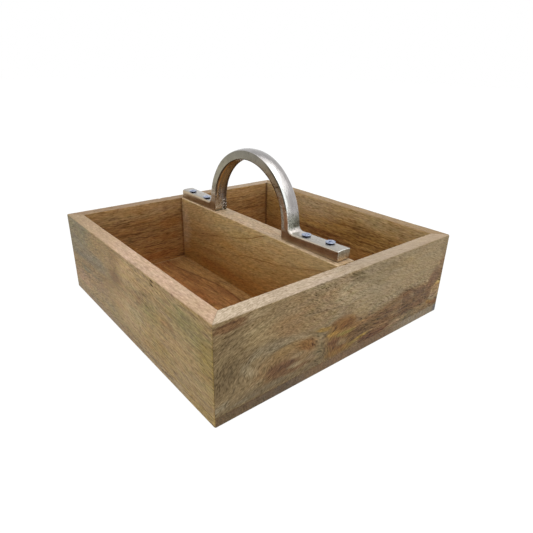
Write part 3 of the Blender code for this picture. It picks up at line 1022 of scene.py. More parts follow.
def wood_right():
    net = Wood('mat_wood_right')
    s, t, d = net.y, net.z, 125.0 - net.x
    # the grain climbs from the near corner, arches over a buried knot and
    # closes beyond it, then runs along the board
    up = net.math('MAXIMUM', t - 24.0, 0.0)
    u = (s + 62.0 + net.math('MAXIMUM', 24.0 - t, 0.0) * 1.6) * 0.571
    arch = net.math('SQRT', u * u + up * up)
    v = arch + (t - 24.0 - arch) * net.step(s, -46, 2)
    upper = net.step(t + (s + 40.0) * 0.10, 34, 48) * net.step(s, -80, -45)
    net.grain(s, v, d, 2.0, 0.6, (-2.0, -24.0), upper, t)
    net.st = net.vec(s, t)
    soft, torn = net.soft_edge(), net.torn_edge(0.7)
    c = net.mix(net.step(net.broad, -0.9, 0.9),
                screen(134, 115, 86), screen(150, 131, 101))
    c = net.mix(upper * 0.7, c, net.mix(
        net.step(net.fleck * 0.6 + net.slow * 0.8, -0.9, 0.9),
        screen(145, 128, 102), screen(161, 145, 121)))
    # pale and dark streaks that follow the arching grain
    near = net.step(s, -38, -70)
    c = net.mix(net.step(net.streak * 0.6 + net.thread, 0.35, 1.25)
                * near * 0.06, c, screen(176, 161, 134))
    c = net.mix(net.step(net.streak * 0.6 + net.thread, -0.30, -1.15)
                * near * 0.09, c, screen(98, 82, 58))

    def spot(colour, strength, centre, radii, angle=0.0, edge=0.4, wander=torn):
        nonlocal c
        c = net.mix(net.patch(centre, radii, angle, edge, wander, strength),
                    c, screen(*colour))

    def ribbon(colour, strength, low, high, edge, ragged, span_s, fade,
               top=None):
        nonlocal c
        at = (net.between(s, t + torn * ragged, low, high, edge, top)
              * net.span(s, span_s[0], span_s[1], fade) * strength)
        c = net.mix(at, c, screen(*colour))
    # dusky end by the near corner
    spot((118, 101, 73), 0.55, (-114, 45), (15, 20), 0, 0.6, soft)
    spot((102, 85, 60), 0.50, (-112, 38), (8, 9), 36, 0.6)
    spot((124, 107, 78), 0.4, (-94, 52), (14, 11), 10, 0.6, soft)
    spot((172, 160, 138), 0.7, (-119, 13.5), (7, 2.4), 12, 0.5)
    spot((168, 155, 132), 0.6, (-99, 10.6), (12, 1.2), 0, 0.5)
    spot((170, 158, 136), 0.6, (-72, 12.0), (14, 1.2), 0, 0.5)
    spot((168, 154, 130), 0.5, (-50, 14.2), (9, 1.1), 5, 0.5)
    spot((170, 158, 134), 0.5, (-99, 33), (3, 8), 36, 0.5)
    spot((172, 160, 137), 0.5, (-92, 42), (7, 3.0), 36, 0.5)
    spot((112, 94, 66), 0.6, (-121, 26), (5, 6), 0, 0.6)
    spot((156, 138, 110), 0.7, (-94, 70), (11, 3.4), 5)
    spot((116, 84, 55), 0.85, (-111, 70), (11.5, 3.2), 5, 0.4)
    spot((94, 66, 42), 0.8, (-113, 71.6), (9, 0.9), 0, 0.5)
    spot((100, 72, 48), 0.75, (-108, 67.4), (9, 0.9), 5, 0.5)
    spot((104, 84, 58), 0.6, (-104, 65), (9, 0.8), 12, 0.5)
    spot((160, 143, 112), 0.6, (-90, 60), (12, 1.6), 0)
    spot((160, 143, 112), 0.6, (-84, 52), (16, 1.7), -4)
    spot((156, 140, 110), 0.5, (-88, 48), (14, 1.4), -4)
    # tan and warm speckled wood above the knot
    spot((152, 133, 101), 0.6, (-84, 54), (16, 8), -4)
    spot((142, 114, 81), 0.8, (-62, 52), (15, 10), -10, 0.6, soft)
    spot((144, 117, 84), 0.6, (-46, 64), (18, 7), -22, 0.6, soft)
    spot((144, 122, 90), 0.6, (-40, 48), (18, 6), -10, 0.6)
    spot((146, 120, 88), 0.6, (-24, 60), (10, 7), -22, 0.6, soft)
    spot((136, 123, 101), 0.8, (-73, 41), (20, 4), -4, 0.6)
    spot((152, 135, 108), 0.6, (-62, 41), (12, 2.2), -4)
    spot((162, 146, 118), 0.7, (-8, 58), (12, 8), -22, 0.5)
    spot((156, 142, 116), 0.5, (16, 52), (18, 10), -10, 0.6, soft)
    # the knot's heart
    spot((142, 115, 80), 0.9, (-61, 25), (30, 13), 0, 0.35, soft)
    spot((154, 127, 86), 0.7, (-66, 35), (16, 3.4), 0)
    spot((136, 100, 58), 0.9, (-45, 31), (10, 4.4), -10, 0.5)
    spot((132, 96, 58), 0.7, (-42, 27.5), (9, 2.0), -10)
    spot((116, 84, 58), 0.9, (-70, 21.5), (13, 5.4), 0, 0.45)
    spot((104, 74, 52), 0.7, (-65, 22), (8, 2.2), 5)
    spot((124, 92, 66), 0.7, (-62, 15.5), (18, 2.0), 0)
    spot((162, 144, 116), 0.85, (-56, 18.5), (7, 1.8), 0)
    spot((158, 136, 106), 0.7, (-55, 26), (8, 1.6), 0)
    spot((152, 132, 104), 0.7, (-42, 20), (9, 3.6), -10)
    spot((140, 123, 98), 0.7, (-82, 12), (20, 2.4), 0)
    spot((132, 117, 88), 0.6, (-33, 25), (6, 9), 12, 0.9, soft)
    spot((116, 103, 76), 0.4, (-29, 19), (4, 6), 12, 0.8)
    # golden and orange heartwood beyond it, running into a long
    # reddish-brown band to the far end
    ribbon((130, 100, 58), 0.95, [(-31, 9), (0, 8.5)],
           [(-31, 34), (-22, 38), (-10, 39.5), (6, 32)], 2.4, 3.2, (-27, 8), 7,
           3.6)
    ribbon((119, 92, 62), 0.95,
           [(-8, 12), (8, 14), (12, 8), (44, 9), (52, 13), (85, 14.5),
            (104, 16), (110, 27), (118, 33), (125, 37)],
           [(-8, 32), (20, 31.5), (40, 32), (56, 36), (70, 39), (84, 36),
            (98, 35), (105, 42), (112, 49), (125, 58)], 2.2, 3.6, (-2, 140), 6,
           5.5)
    ribbon((117, 90, 64), 0.8,
           [(60, 14), (85, 15), (104, 17), (110, 28), (125, 38)],
           [(60, 35), (70, 38), (84, 35), (98, 34), (106, 43), (125, 57)],
           2.2, 3.2, (62, 140), 5, 4.0)
    spot((168, 134, 72), 0.85, (-20, 29), (7, 1.7), 0)
    spot((158, 124, 64), 0.8, (-31, 36.6), (8, 1.6), -10)
    spot((127, 89, 49), 0.8, (-8, 34.5), (11, 4.6), -4, 0.8)
    spot((110, 74, 40), 0.6, (-4, 31), (8, 1.8), -4)
    spot((110, 78, 49), 0.92, (-18, 20.5), (9, 4.6), -4, 0.45)
    spot((98, 68, 45), 0.6, (-21, 22), (6, 1.4), -4)
    spot((142, 126, 70), 0.85, (-5, 25.4), (12, 1.6), 0)
    spot((146, 124, 94), 0.8, (-9, 18), (6, 3.2), 0)
    spot((152, 116, 66), 0.8, (-13, 11.5), (13, 2.8), 0)
    spot((130, 92, 56), 0.7, (-14, 14.4), (8, 1.2), 0)
    spot((102, 77, 49), 0.85, (15, 20.0), (19, 3.2), 0)
    spot((108, 82, 54), 0.7, (40, 24), (18, 5), 5)
    spot((138, 106, 66), 0.7, (8, 27.5), (14, 2.6), 0)
    spot((132, 103, 70), 0.5, (36, 29.5), (14, 1.6), 5)
    spot((140, 115, 85), 0.6, (55, 20.5), (7, 4.0), 0, 0.8)
    spot((134, 108, 78), 0.5, (56, 29), (8, 3.0), 0, 0.8)
    spot((106, 80, 54), 0.75, (73, 25), (8, 10), 0, 0.7)
    spot((108, 82, 56), 0.65, (98, 24), (10, 6.5), 0, 0.6)
    spot((100, 77, 56), 0.6, (88, 31), (14, 3.2), -4)
    spot((128, 98, 76), 0.7, (109, 38), (10, 5), 36, 0.4)
    spot((112, 84, 62), 0.7, (114, 45), (8, 3), 36)
    spot((128, 99, 72), 0.75, (122, 48), (6, 13), 0, 0.6)
    spot((172, 147, 116), 0.7, (114.5, 51), (2.4, 1.2), 0, 0.5)
    spot((118, 84, 58), 0.95, (29, 10.6), (19, 3.0), 0, 0.35)
    spot((104, 74, 52), 0.6, (32, 10), (12, 1.4), 0)
    spot((160, 130, 66), 0.9, (14, 14.4), (10, 1.4), 5)
    spot((146, 128, 70), 0.7, (4, 12.5), (8, 1.0), 0)
    spot((152, 122, 90), 0.7, (32, 15.4), (14, 0.9), 0)
    spot((162, 137, 106), 0.9, (60, 10.8), (12, 2.0), 5, 0.4)
    spot((152, 126, 92), 0.8, (88, 11.4), (22, 2.6), 0)
    spot((122, 96, 66), 0.6, (80, 9.2), (30, 0.9), 0)
    spot((156, 131, 100), 0.92, (117, 23), (9, 8.0), 12, 0.35)
    spot((172, 144, 90), 0.85, (119, 31), (6, 2.0), 12)
    spot((158, 128, 78), 0.7, (118, 25), (7, 1.0), 5)
    spot((138, 97, 58), 0.85, (118, 11.5), (8, 1.8), -4)
    spot((156, 120, 60), 0.85, (108, 14.5), (4.5, 1.8), -22)
    # sanding marks across the band, and a rubbed patch
    mark = (net.line(s + net.dash * 0.5, 64.0, 1.0)
            + net.line(s + net.dash * 0.5, 98.6, 0.8)) * net.span(t, 15, 34, 3)
    c = net.mix(mark * 0.5, c, screen(160, 138, 110))
    spot((150, 126, 98), 0.6, (79, 30.6), (3.6, 2.2), -40, 0.9)
    # paler grey-tan upper zone, and smudges at the rim
    spot((160, 142, 112), 0.6, (88, 57), (34, 13), -4, 0.6, soft)
    spot((154, 134, 98), 0.5, (62, 66), (16, 5), -4, 0.6)
    spot((130, 114, 86), 0.6, (40, 68), (16, 5), -10, 0.7)
    spot((136, 122, 95), 0.6, (20, 63), (18, 5), -22, 0.7)
    spot((103, 88, 62), 0.85, (1, 71.5), (8, 1.8), -4, 0.5)
    spot((112, 96, 70), 0.5, (6, 67), (8, 2.2), -10, 0.5)
    spot((128, 110, 84), 0.6, (119, 66), (6, 7), 0, 0.6)
    # thin dark lines where the grain closes round the knot

    def rings(centre, radii, *lines):
        """Thin lines on ellipses about one centre: how far out, how wide,
        how dark, and the patch in which each one shows."""
        nonlocal c
        r = net.away(net.st, centre, radii) + net.quick * 0.020
        for out, width, strength, seen, reach in lines:
            at = (net.line(r, out, width / radii[1])
                  * net.patch(seen, reach, 0, 0.3, None, strength * 0.8))
            c = net.mix(at, c, screen(84, 68, 46))
    rings((-80, 30), (21.2, 15.5),
          (1.00, 0.85, 0.70, (-95, 36), (13, 10)),
          (1.09, 0.80, 0.50, (-97, 41), (10, 8)),
          (1.24, 0.90, 0.36, (-98, 45), (9, 7)))
    rings((-85, 45), (37.0, 21.0),
          (1.00, 0.80, 0.60, (-117, 56), (9, 9)),
          (1.08, 0.80, 0.36, (-112, 62), (14, 7)))
    rings((-66, 25), (27.0, 13.4), (1.0, 0.80, 0.50, (-70, 38), (12, 4)))
    rings((-66, 25), (40.5, 16.5), (1.0, 0.90, 0.42, (-36, 35), (14, 9)))
    rings((-52, 24), (27.0, 15.0), (1.0, 0.85, 0.50, (-27, 28), (7, 10)))
    rings((-50, 18), (22.0, 9.5),
          (1.00, 0.75, 0.46, (-32, 15), (11, 9)),
          (0.86, 0.65, 0.30, (-34, 15), (9, 8)),
          (1.17, 0.75, 0.32, (-29, 13), (9, 7)),
          (0.73, 0.65, 0.22, (-38, 15), (9, 7)))
    # a long dark vein, and a hairline check by the near corner
    vein = net.line(t + net.quick * 0.5 - net.curve(
        s, [(-56, 57), (-46, 54.6), (-30, 52.4), (-12, 49), (4, 47)]), 0, 1.1)
    c = net.mix(vein * net.span(s, -52, 0, 5) * 0.45, c, screen(84, 70, 46))
    check = net.line(s + 116.0 - (t - 12.0) * 0.6
                     + net.math('SINE', (t - 12.0) * 0.55) * 1.1, 0.0, 0.8)
    check = check * net.span(t, 12, 24, 1.2)
    c = net.mix(check * 0.62, c, screen(76, 62, 42))
    # a pale worn line along the foot
    foot = net.span(t, 7.9, 9.0, 0.5) * net.span(s, -118, -52, 8)
    c = net.mix(foot * net.step(net.fleck, -0.8, 0.4) * 0.7, c,
                screen(164, 145, 110))
    c = net.tint(c, net.step(t, 22, 9) * -0.24
                 - net.step(s, -8, -56) * net.step(t, 58, 34) * 0.12)
    c = net.shade(c, (0.80, 0.76, 0.66))
    # inside, the board is browner: painted shade, like the other boards' shaded
    # inner faces
    c = net.mix(net.step(d, 5, 8), c,
                net.mix(net.step(net.streak, -0.8, 0.8),
                        screen(124, 88, 54), screen(158, 120, 78)))
    # the rim's top is sanded paler
    top = net.sanded(s, d, 2.9, screen(157, 139, 118), screen(176, 158, 136))
    top = net.mix(net.step(s, -40, 10) * 0.7, top, screen(148, 131, 110))
    top = net.mix(net.step(s, -60, -122) * 0.7, top, screen(180, 163, 139))
    top = net.mix(net.step(s, 50, 112) * 0.7, top, screen(157, 135, 109))
    lit = net.step(net.nz, 0.25, 0.8)
    c = net.mix(lit, c, top)
    # the grain shows least high on the far half and most in the band below
    calm = net.step(s, -6, 24) * net.step(t, 38, 47)
    lively = net.step(s, 4, 18) * net.step(t, 40, 33)
    even = 1.12 - calm * 0.46 + lively * 0.25
    mid = upper * net.step(s, 20, -6) * (1.0 - near * 0.6)
    wide = (even + lively * 0.3 - near * 0.76) * (1.0 - lit * 0.6)
    return net.finish(c, streak=0.08, fleck=0.08,
                      dash=0.25 - near * 0.13 - mid * 0.07,
                      fibre=0.35 - near * 0.11 - mid * 0.08,
                      pore=0.38 - near * 0.16, pore_at=0.36,
                      thread=0.13 - near * 0.12,
                      grit=0.20 + near * 0.14 + mid * 0.10,
                      warm=0.055, green=0.035,
                      fade=even * (1.0 - lit * 0.40), coarse=wide)


def wood_left():
    net = Wood('mat_wood_left')
    s, t, d = net.y, net.z, net.x + 125.0
    net.grain(s, t, d, 3.0, 0.7)
    raw = net.vec(s, t, d)
    curl = net.noise(raw, (8, 6, 20), 3.3, 2, 0.6)
    roll = t + curl * 0.8 + net.slow * 1.6
    flow = net.vec(s, roll, d)
    band = net.noise(flow, (26, 2.6, 24), 4.1, 2, 0.6)
    thin = net.noise(flow, (17, 1.25, 9), 5.2, 2, 0.6)
    net.st = net.vec(s, t)
    torn = net.torn_edge()
    inside = net.step(d, 5, 7)
    # inner face: golden at the top, browner and redder towards the floor, partly
    # painted shade of the deep box
    c = net.mix(net.step(t + band * 3.0, 66, 56), screen(167, 132, 86),
                screen(151, 112, 67))
    c = net.mix(net.step(t, 40, 14), c, screen(164, 117, 66))
    c = net.mix(net.step(band, -0.1, -0.8) * 0.40, c, screen(174, 136, 92))
    dark = (net.step(band * 0.6 + thin, 0.10, 0.95)
            * net.step(t, 72, 58, .3, 1))
    c = net.mix(dark * 0.80, c, screen(96, 62, 36))
    c = net.mix(net.step(thin - band * 0.4, -0.4, -1.1) * 0.35, c,
                screen(182, 138, 86))

    def spot(colour, strength, centre, radii, angle=0.0, edge=0.4, wander=torn):
        nonlocal c
        c = net.mix(net.patch(centre, radii, angle, edge, wander, strength),
                    c, screen(*colour))
    spot((158, 106, 54), 0.6, (-22, 50), (13, 6), 0)
    spot((150, 98, 50), 0.5, (-30, 36), (20, 3), 0)
    spot((158, 98, 50), 0.5, (-44, 16), (24, 4), 0)
    spot((160, 128, 92), 0.5, (-30, 69), (24, 5), 0)

    def vein(points, width, strength, low, high):
        nonlocal c
        at = net.line(roll + thin * 0.35 - net.curve(s, points), 0, width)
        c = net.mix(at * net.step(thin + band, -0.7, 0.6, 0.15, strength * 0.8)
                    * net.span(s, low, high, 4), c, screen(80, 50, 28))
    vein([(-90, 57), (-60, 56), (-44, 55.5), (-8, 57.5)], 1.0, 0.8, -84, -12)
    vein([(-90, 60.5), (-50, 60), (-8, 61.5)], 0.8, 0.5, -80, -12)
    vein([(-84, 45), (-60, 45.4), (-40, 44), (-8, 45.5)], 1.1, 0.85, -82, -12)
    vein([(-78, 39), (-62, 40), (-50, 39.4), (-8, 42)], 1.0, 0.8, -74, -40)
    vein([(-60, 30), (-40, 30), (-26, 32), (-8, 32)], 0.8, 0.7, -50, -10)
    vein([(-60, 22), (-40, 21), (-8, 24)], 1.0, 0.6, -56, -22)
    vein([(10, 57), (50, 58), (112, 56)], 1.0, 0.7, 14, 108)
    vein([(10, 49), (60, 48), (112, 50)], 1.1, 0.7, 14, 100)
    vein([(10, 41), (60, 42), (112, 40)], 1.0, 0.6, 20, 108)
    # the shadows in the corners with the divider and with the back wall
    c = net.mix(net.span(s, -8.8, -7.2, 0.7) * 0.42, c, screen(84, 52, 28))
    c = net.mix(net.step(s, 109.6, 111.2) * 0.5, c, screen(84, 52, 28))
    c = net.tint(c, net.step(t, 44, 66) * -0.08)
    # outer face: the colours of the two sides that stand in the light, without
    # the inner face's painted shade
    out = net.mix(net.step(net.broad, -0.8, 0.8), screen(136, 114, 84),
                  screen(156, 134, 104))
    out = net.mix(net.patch((52, 24), (46, 11), 4, 0.4, torn, 0.85), out,
                  screen(118, 92, 66))
    out = net.mix(net.patch((-70, 52), (40, 9), -5, 0.4, torn, 0.8), out,
                  screen(128, 118, 98))
    out = net.mix(net.patch((10, 62), (34, 7), 6, 0.4, torn, 0.6), out,
                  screen(132, 104, 74))
    out = net.mix(net.patch((-64, 14), (30, 5), 2, 0.4, torn, 0.7), out,
                  screen(150, 118, 78))
    c = net.mix(inside, net.shade(out, (0.86, 0.83, 0.75)), c)
    c = net.mix(net.step(net.nz, 0.25, 0.8), c, net.mix(
        net.step(s, 0, 80),
        net.sanded(s, d, 3.8, screen(126, 101, 74), screen(142, 117, 89)),
        net.sanded(s, d, 3.8, screen(140, 120, 97), screen(158, 138, 115))))
    lit = net.step(net.nz, 0.25, 0.8)
    return net.finish(c, streak=0.10, fleck=0.10, dash=0.20, fibre=0.36,
                      pore=0.26, thread=0.26, grit=0.12,
                      fade=1.0 - lit * 0.4, coarse=1.0 - lit * 0.6)


def wood_back():
    net = Wood('mat_wood_back')
    s, t, d = net.x, net.z, 123.75 - net.y
    net.grain(s, t, d, 4.0, 0.9)
    net.st = net.vec(s, t)
    torn = net.torn_edge()
    flow = net.vec(s, net.bent + net.quick * 0.5, d)
    band = net.noise(flow, (38, 3.0, 30), 8.1, 3, 0.62)
    thin = net.noise(flow, (11, 1.1, 10), 6.4, 2, 0.65)
    # inner face: paler at the top, browner towards the floor, partly painted
    # shade of the deep box
    c = net.mix(net.step(t + band * 4.0, 70, 52), screen(174, 149, 107),
                screen(168, 134, 79))
    c = net.mix(net.step(t, 44, 24), c, screen(158, 117, 69))
    lines = net.noise(flow, (46, 2.2, 20), 7.4, 1, 0.5)
    # most of the board is plain, its strong streaks lie together in one place
    dashes = net.patch((36, 50), (50, 13), 0, 0.7, torn, 1.0)
    dark = net.step(band + thin * 0.5 + lines * 0.6, 0.0, 0.9)
    dark = dark * net.step(t, 72, 56, .25, 1) * (dashes * 0.42 + 0.22)
    c = net.mix(dark, c, screen(110, 76, 40))
    c = net.mix(net.step(lines + thin * 0.3, 0.20, 0.85)
                * net.step(t, 74, 60, .3, 1) * (dashes * 0.60 + 0.16), c,
                screen(92, 60, 30))
    c = net.mix(net.step(lines - thin * 0.2, -0.25, -0.90)
                * (dashes * 0.40 + 0.14), c, screen(208, 168, 104))

    def spot(colour, strength, centre, radii, angle=0.0, edge=0.4, wander=torn):
        nonlocal c
        c = net.mix(net.patch(centre, radii, angle, edge, wander, strength),
                    c, screen(*colour))
    spot((138, 102, 54), 0.5, (30, 52), (50, 11), 0, 0.6)
    # short dark dashes with golden wood between them, by the screws
    short = net.noise(flow, (8.5, 0.85, 8), 9.3, 2, 0.6)
    c = net.mix(net.step(short + thin * 0.5, 0.25, 1.05) * dashes * 0.85, c,
                screen(88, 58, 30))
    c = net.mix(net.step(short - thin * 0.3, -0.3, -1.1) * dashes * 0.55, c,
                screen(188, 144, 76))
    spot((92, 62, 32), 0.5, (24, 57.0), (24, 0.8), 0)
    spot((92, 62, 32), 0.5, (40, 51.0), (28, 0.8), 0)
    spot((96, 66, 36), 0.45, (50, 45), (24, 0.8), 0)
    spot((110, 66, 38), 0.6, (-22, 40), (30, 2.0), 0)
    spot((98, 58, 34), 0.7, (0, 35), (26, 1.6), 0)
    spot((170, 144, 100), 0.6, (70, 68), (34, 7), 0, 0.6)
    spot((174, 152, 120), 0.6, (-34, 64), (34, 12), 0, 0.7)
    spot((112, 74, 42), 0.5, (-30, 38), (56, 5), 0, 0.7)
    spot((140, 104, 58), 0.4, (-98, 44), (16, 26), 0, 0.7)
    # painted shadow in the corner with the left wall
    c = net.mix(net.step(s, -110.2, -111.4) * 0.55, c, screen(88, 56, 30))
    # outer face: the colours of the sides that stand in the light, without the
    # inner face's painted shade
    out = net.mix(net.step(net.broad, -0.8, 0.8), screen(140, 118, 86),
                  screen(160, 138, 106))
    out = net.mix(net.patch((-40, 50), (52, 9), 5, 0.4, torn, 0.8), out,
                  screen(128, 120, 100))
    out = net.mix(net.patch((60, 24), (40, 8), -4, 0.4, torn, 0.8), out,
                  screen(126, 98, 68))
    out = net.mix(net.patch((-84, 18), (26, 6), 0, 0.4, torn, 0.7), out,
                  screen(160, 132, 106))
    c = net.mix(net.step(d, 5, 7), net.shade(out, (0.86, 0.83, 0.75)), c)
    lit = net.step(net.nz, 0.25, 0.8)
    c = net.mix(lit, c, net.sanded(s, d, 4.6, screen(125, 101, 71),
                                   screen(146, 122, 89)))
    return net.finish(c, streak=0.12, fleck=0.12, dash=0.20, fibre=0.36,
                      pore=0.24, thread=0.18, fade=1.0 - lit * 0.42,
                      coarse=1.0 - lit * 0.6)


def wood_divider():
    net = Wood('mat_wood_divider')
    s, t, d = net.x, net.z, net.y + 7.0
    net.grain(s, t, d, 5.0, 0.5, (11.0,))
    net.st = net.vec(s, t)
    soft = net.soft_edge()
    # paler at the top, browner towards the floor, partly painted shade of the
    # deep box
    c = net.mix(net.step(t + net.slow * 5.0, 74, 40),
                screen(178, 152, 106), screen(166, 130, 78))
    c = net.mix(net.step(t + net.slow * 4.0, 40, 12), c, screen(162, 118, 62))

    def spot(colour, strength, centre, radii, angle=0.0, edge=0.5, wander=soft):
        nonlocal c
        c = net.mix(net.patch(centre, radii, angle, edge, wander, strength),
                    c, screen(*colour))
    spot((176, 148, 94), 0.6, (2, 64), (22, 6), 14)
    spot((172, 135, 88), 0.6, (-84, 62), (28, 16), 0, 0.7)
    spot((168, 132, 76), 0.5, (-32, 46), (10, 3.5), 12)
    spot((150, 108, 64), 0.5, (-68, 46), (30, 6), 10)
    spot((148, 94, 50), 0.6, (-40, 17), (44, 3.6), 2)
    spot((140, 88, 46), 0.4, (-60, 30), (26, 3), 8)
    spot((184, 153, 118), 0.75, (-110, 46), (7, 40), 0, 0.5)
    spot((176, 146, 100), 0.5, (50, 66), (40, 6), 6)

    def vein(points, width, strength, low, high):
        nonlocal c
        at = net.line(t + net.quick * 0.5 - net.curve(s, points), 0, width)
        c = net.mix(at * net.step(net.fleck + net.streak, -1.0, 0.6, 0.3, 1.0)
                    * net.span(s, low, high, 5) * (strength * 1.9), c,
                    screen(112, 74, 36))
    vein([(-84, 43.5), (-65, 47.6), (-40, 52.8), (-18, 58.2), (3, 63.8),
          (22, 71.2), (34, 76)], 0.9, 0.36, -76, 28)
    vein([(-10, 60), (6, 64), (18, 69), (30, 74)], 0.7, 0.22, -2, 30)
    vein([(-105, 26), (-82, 32), (-72, 36), (-59, 38.5), (-43, 40), (-33, 42),
          (-20, 40.5), (0, 45.5), (24, 49), (43, 52), (75, 60), (100, 66)],
         0.9, 0.38, -100, 100)
    vein([(-113, 50), (-94, 57), (-72, 66), (-60, 75)], 1.2, 0.16, -110, -62)
    vein([(-100, 16), (-40, 21), (20, 24), (80, 36)], 1.4, 0.16, -90, 70)
    vein([(20, 30), (60, 38), (110, 52)], 1.2, 0.16, 24, 104)
    c = net.tint(c, net.step(s, -62, -20) * 0.14 - 0.04
                 + net.step(s, -94, -104) * 0.08)
    # the side away from the light has the same colours
    c = net.mix(net.step(net.nz, 0.25, 0.8), c, net.sanded(
        s, d, 5.7, screen(159, 134, 105), screen(177, 152, 122)))
    c = net.mix(net.step(t, 34, 12) * net.step(s, -90, -60) * 0.5, c,
                screen(150, 100, 46))
    # the edge towards the near compartment is rubbed pale
    worn = net.span(net.nz, 0.30, 0.92, 0.1) * net.step(net.ny, -0.2, -0.4)
    c = net.mix(worn * 0.35, c, screen(200, 174, 140))
    return net.finish(c, streak=0.07, fleck=0.07, dash=0.20, fibre=0.28,
                      pore=0.22, thread=0.10, grit=0.10, warm=0.06,
                      green=0.025, roughness=0.46)


def wood_base():
    net = Wood('mat_wood_base')
    s, t, d = net.x, net.y, net.z
    net.grain(s, t, d, 6.0, 1.2, (5.0,))
    net.st = net.vec(s, t)
    torn = net.torn_edge()
    band = net.noise(net.g, (50, 3.6, 30), 6.2, 3, 0.65, 5.0)
    c = net.mix(net.step(band, -0.7, 0.7), screen(148, 106, 63),
                screen(128, 84, 47))
    c = net.mix(net.step(t, -30, -48) * 0.4, c, screen(140, 88, 45))
    bend = t + net.quick * 0.5
    course = net.curve(s, [(-98, -31), (-81, -27.8), (-67, -25.4),
                           (-54, -22.4), (-40, -20.1), (-25, -18.3),
                           (-9, -18.6), (14, -21), (60, -27)])
    c = net.mix(net.step(bend - course, 0.2, 2.6) * 0.7, c,
                screen(158, 120, 72))
    c = net.mix(net.patch((-104, -32), (9, 9), 0, 0.6, torn, 0.5), c,
                screen(118, 74, 42))
    fine = net.noise(net.g, (24, 1.5, 20), 7.9, 2, 0.6, 5.0)
    c = net.mix(net.step(band + fine * 0.6, 0.30, 1.0) * 0.62, c,
                screen(100, 64, 36))
    c = net.mix(net.step(band + fine * 0.6, -0.30, -1.0) * 0.5, c,
                screen(174, 130, 78))
    vein = net.line(bend - course, 0, 1.3) * net.span(s, -92, 52, 5)
    second = net.line(bend - net.curve(
        s, [(-60, -26.6), (-45, -26.5), (-29, -27.4), (-17, -28.6),
            (24, -33)]), 0, 1.1) * net.span(s, -56, 18, 5)
    c = net.mix(vein * 0.74, c, screen(88, 54, 28))
    c = net.mix(second * 0.55, c, screen(94, 56, 30))
    # dried glue along the back corner's joint
    glue = net.step(s, -110.8, -112.2) * net.span(t, -70, -8, 4)
    c = net.mix(glue * 0.5, c, screen(186, 152, 110))
    # underside: plain and paler, with mill marks across it
    under = net.mix(net.step(net.broad + net.streak * 0.5, -0.9, 0.9),
                    screen(138, 110, 78), screen(162, 134, 100))
    ripple = net.math('SINE', s * 1.1 + net.slow * 0.8)
    c = net.mix(net.step(net.nz, -0.4, -0.8), c,
                net.tint(under, ripple * 0.025))
    # east edge: end grain, dark by the near corner, grey at the far one
    across = net.noise(net.mm, (6, 1.8, 9), 7.7, 2, 0.6)
    c_e = net.mix(net.step(t, -124, -60), screen(106, 86, 62),
                  screen(98, 83, 67))
    c_e = net.mix(net.step(t, -62, -40), c_e, screen(118, 96, 73))
    c_e = net.mix(net.step(t, 45, 75), c_e, screen(138, 125, 106))
    c_e = net.mix(net.step(t, 116, 121), c_e, screen(104, 102, 106))
    c_e = net.tint(c_e, across * 0.16)
    c = net.mix(net.step(net.nx, 0.4, 0.8), c,
                net.shade(c_e, (0.78, 0.74, 0.67)))
    # south edge: the colour of the wall above it, with broken dark lines
    c_s = net.mix(net.step(s + net.quick * 8, -40, 20), screen(142, 122, 96),
                  screen(150, 128, 96))
    c_s = net.mix(net.step(s, 80, 112), c_s, screen(152, 130, 84))
    up = d + net.quick * 0.25

    def seam(points, width, strength, low, high, soft=3.0):
        nonlocal c_s
        at = net.line(up - net.curve(s, points), 0, width)
        c_s = net.mix(at * net.span(s, low, high, soft) * strength, c_s,
                      screen(88, 70, 50))
    seam([(-10, 3.4), (12, 3.6), (30, 4.2)], 1.6, 0.45, -6, 27, 5)
    seam([(24, 4.4), (36, 5.7), (50, 5.4)], 0.9, 0.75, 29, 47)
    seam([(50, 3.2), (62, 3.9), (78, 4.8)], 0.9, 0.8, 54, 73)
    seam([(80, 4.6), (92, 5.6), (110, 6.7)], 0.8, 0.8, 85, 105)
    seam([(106, 6.6), (124, 7.0)], 0.6, 0.55, 110, 122)
    c = net.mix(net.step(net.ny, -0.4, -0.8), c,
                net.shade(c_s, (0.86, 0.83, 0.74)))
    c_w = net.mix(net.step(net.broad, -0.8, 0.8), screen(124, 102, 76),
                  screen(146, 124, 96))
    c = net.mix(net.step(net.nx, -0.4, -0.8), c, net.tint(c_w, across * 0.16))
    c = net.mix(net.step(net.ny, 0.4, 0.8), c, c_w)
    return net.finish(c, streak=0.11, fleck=0.14, dash=0.22, fibre=0.28,
                      pore=0.26, thread=0.12, grit=0.16)


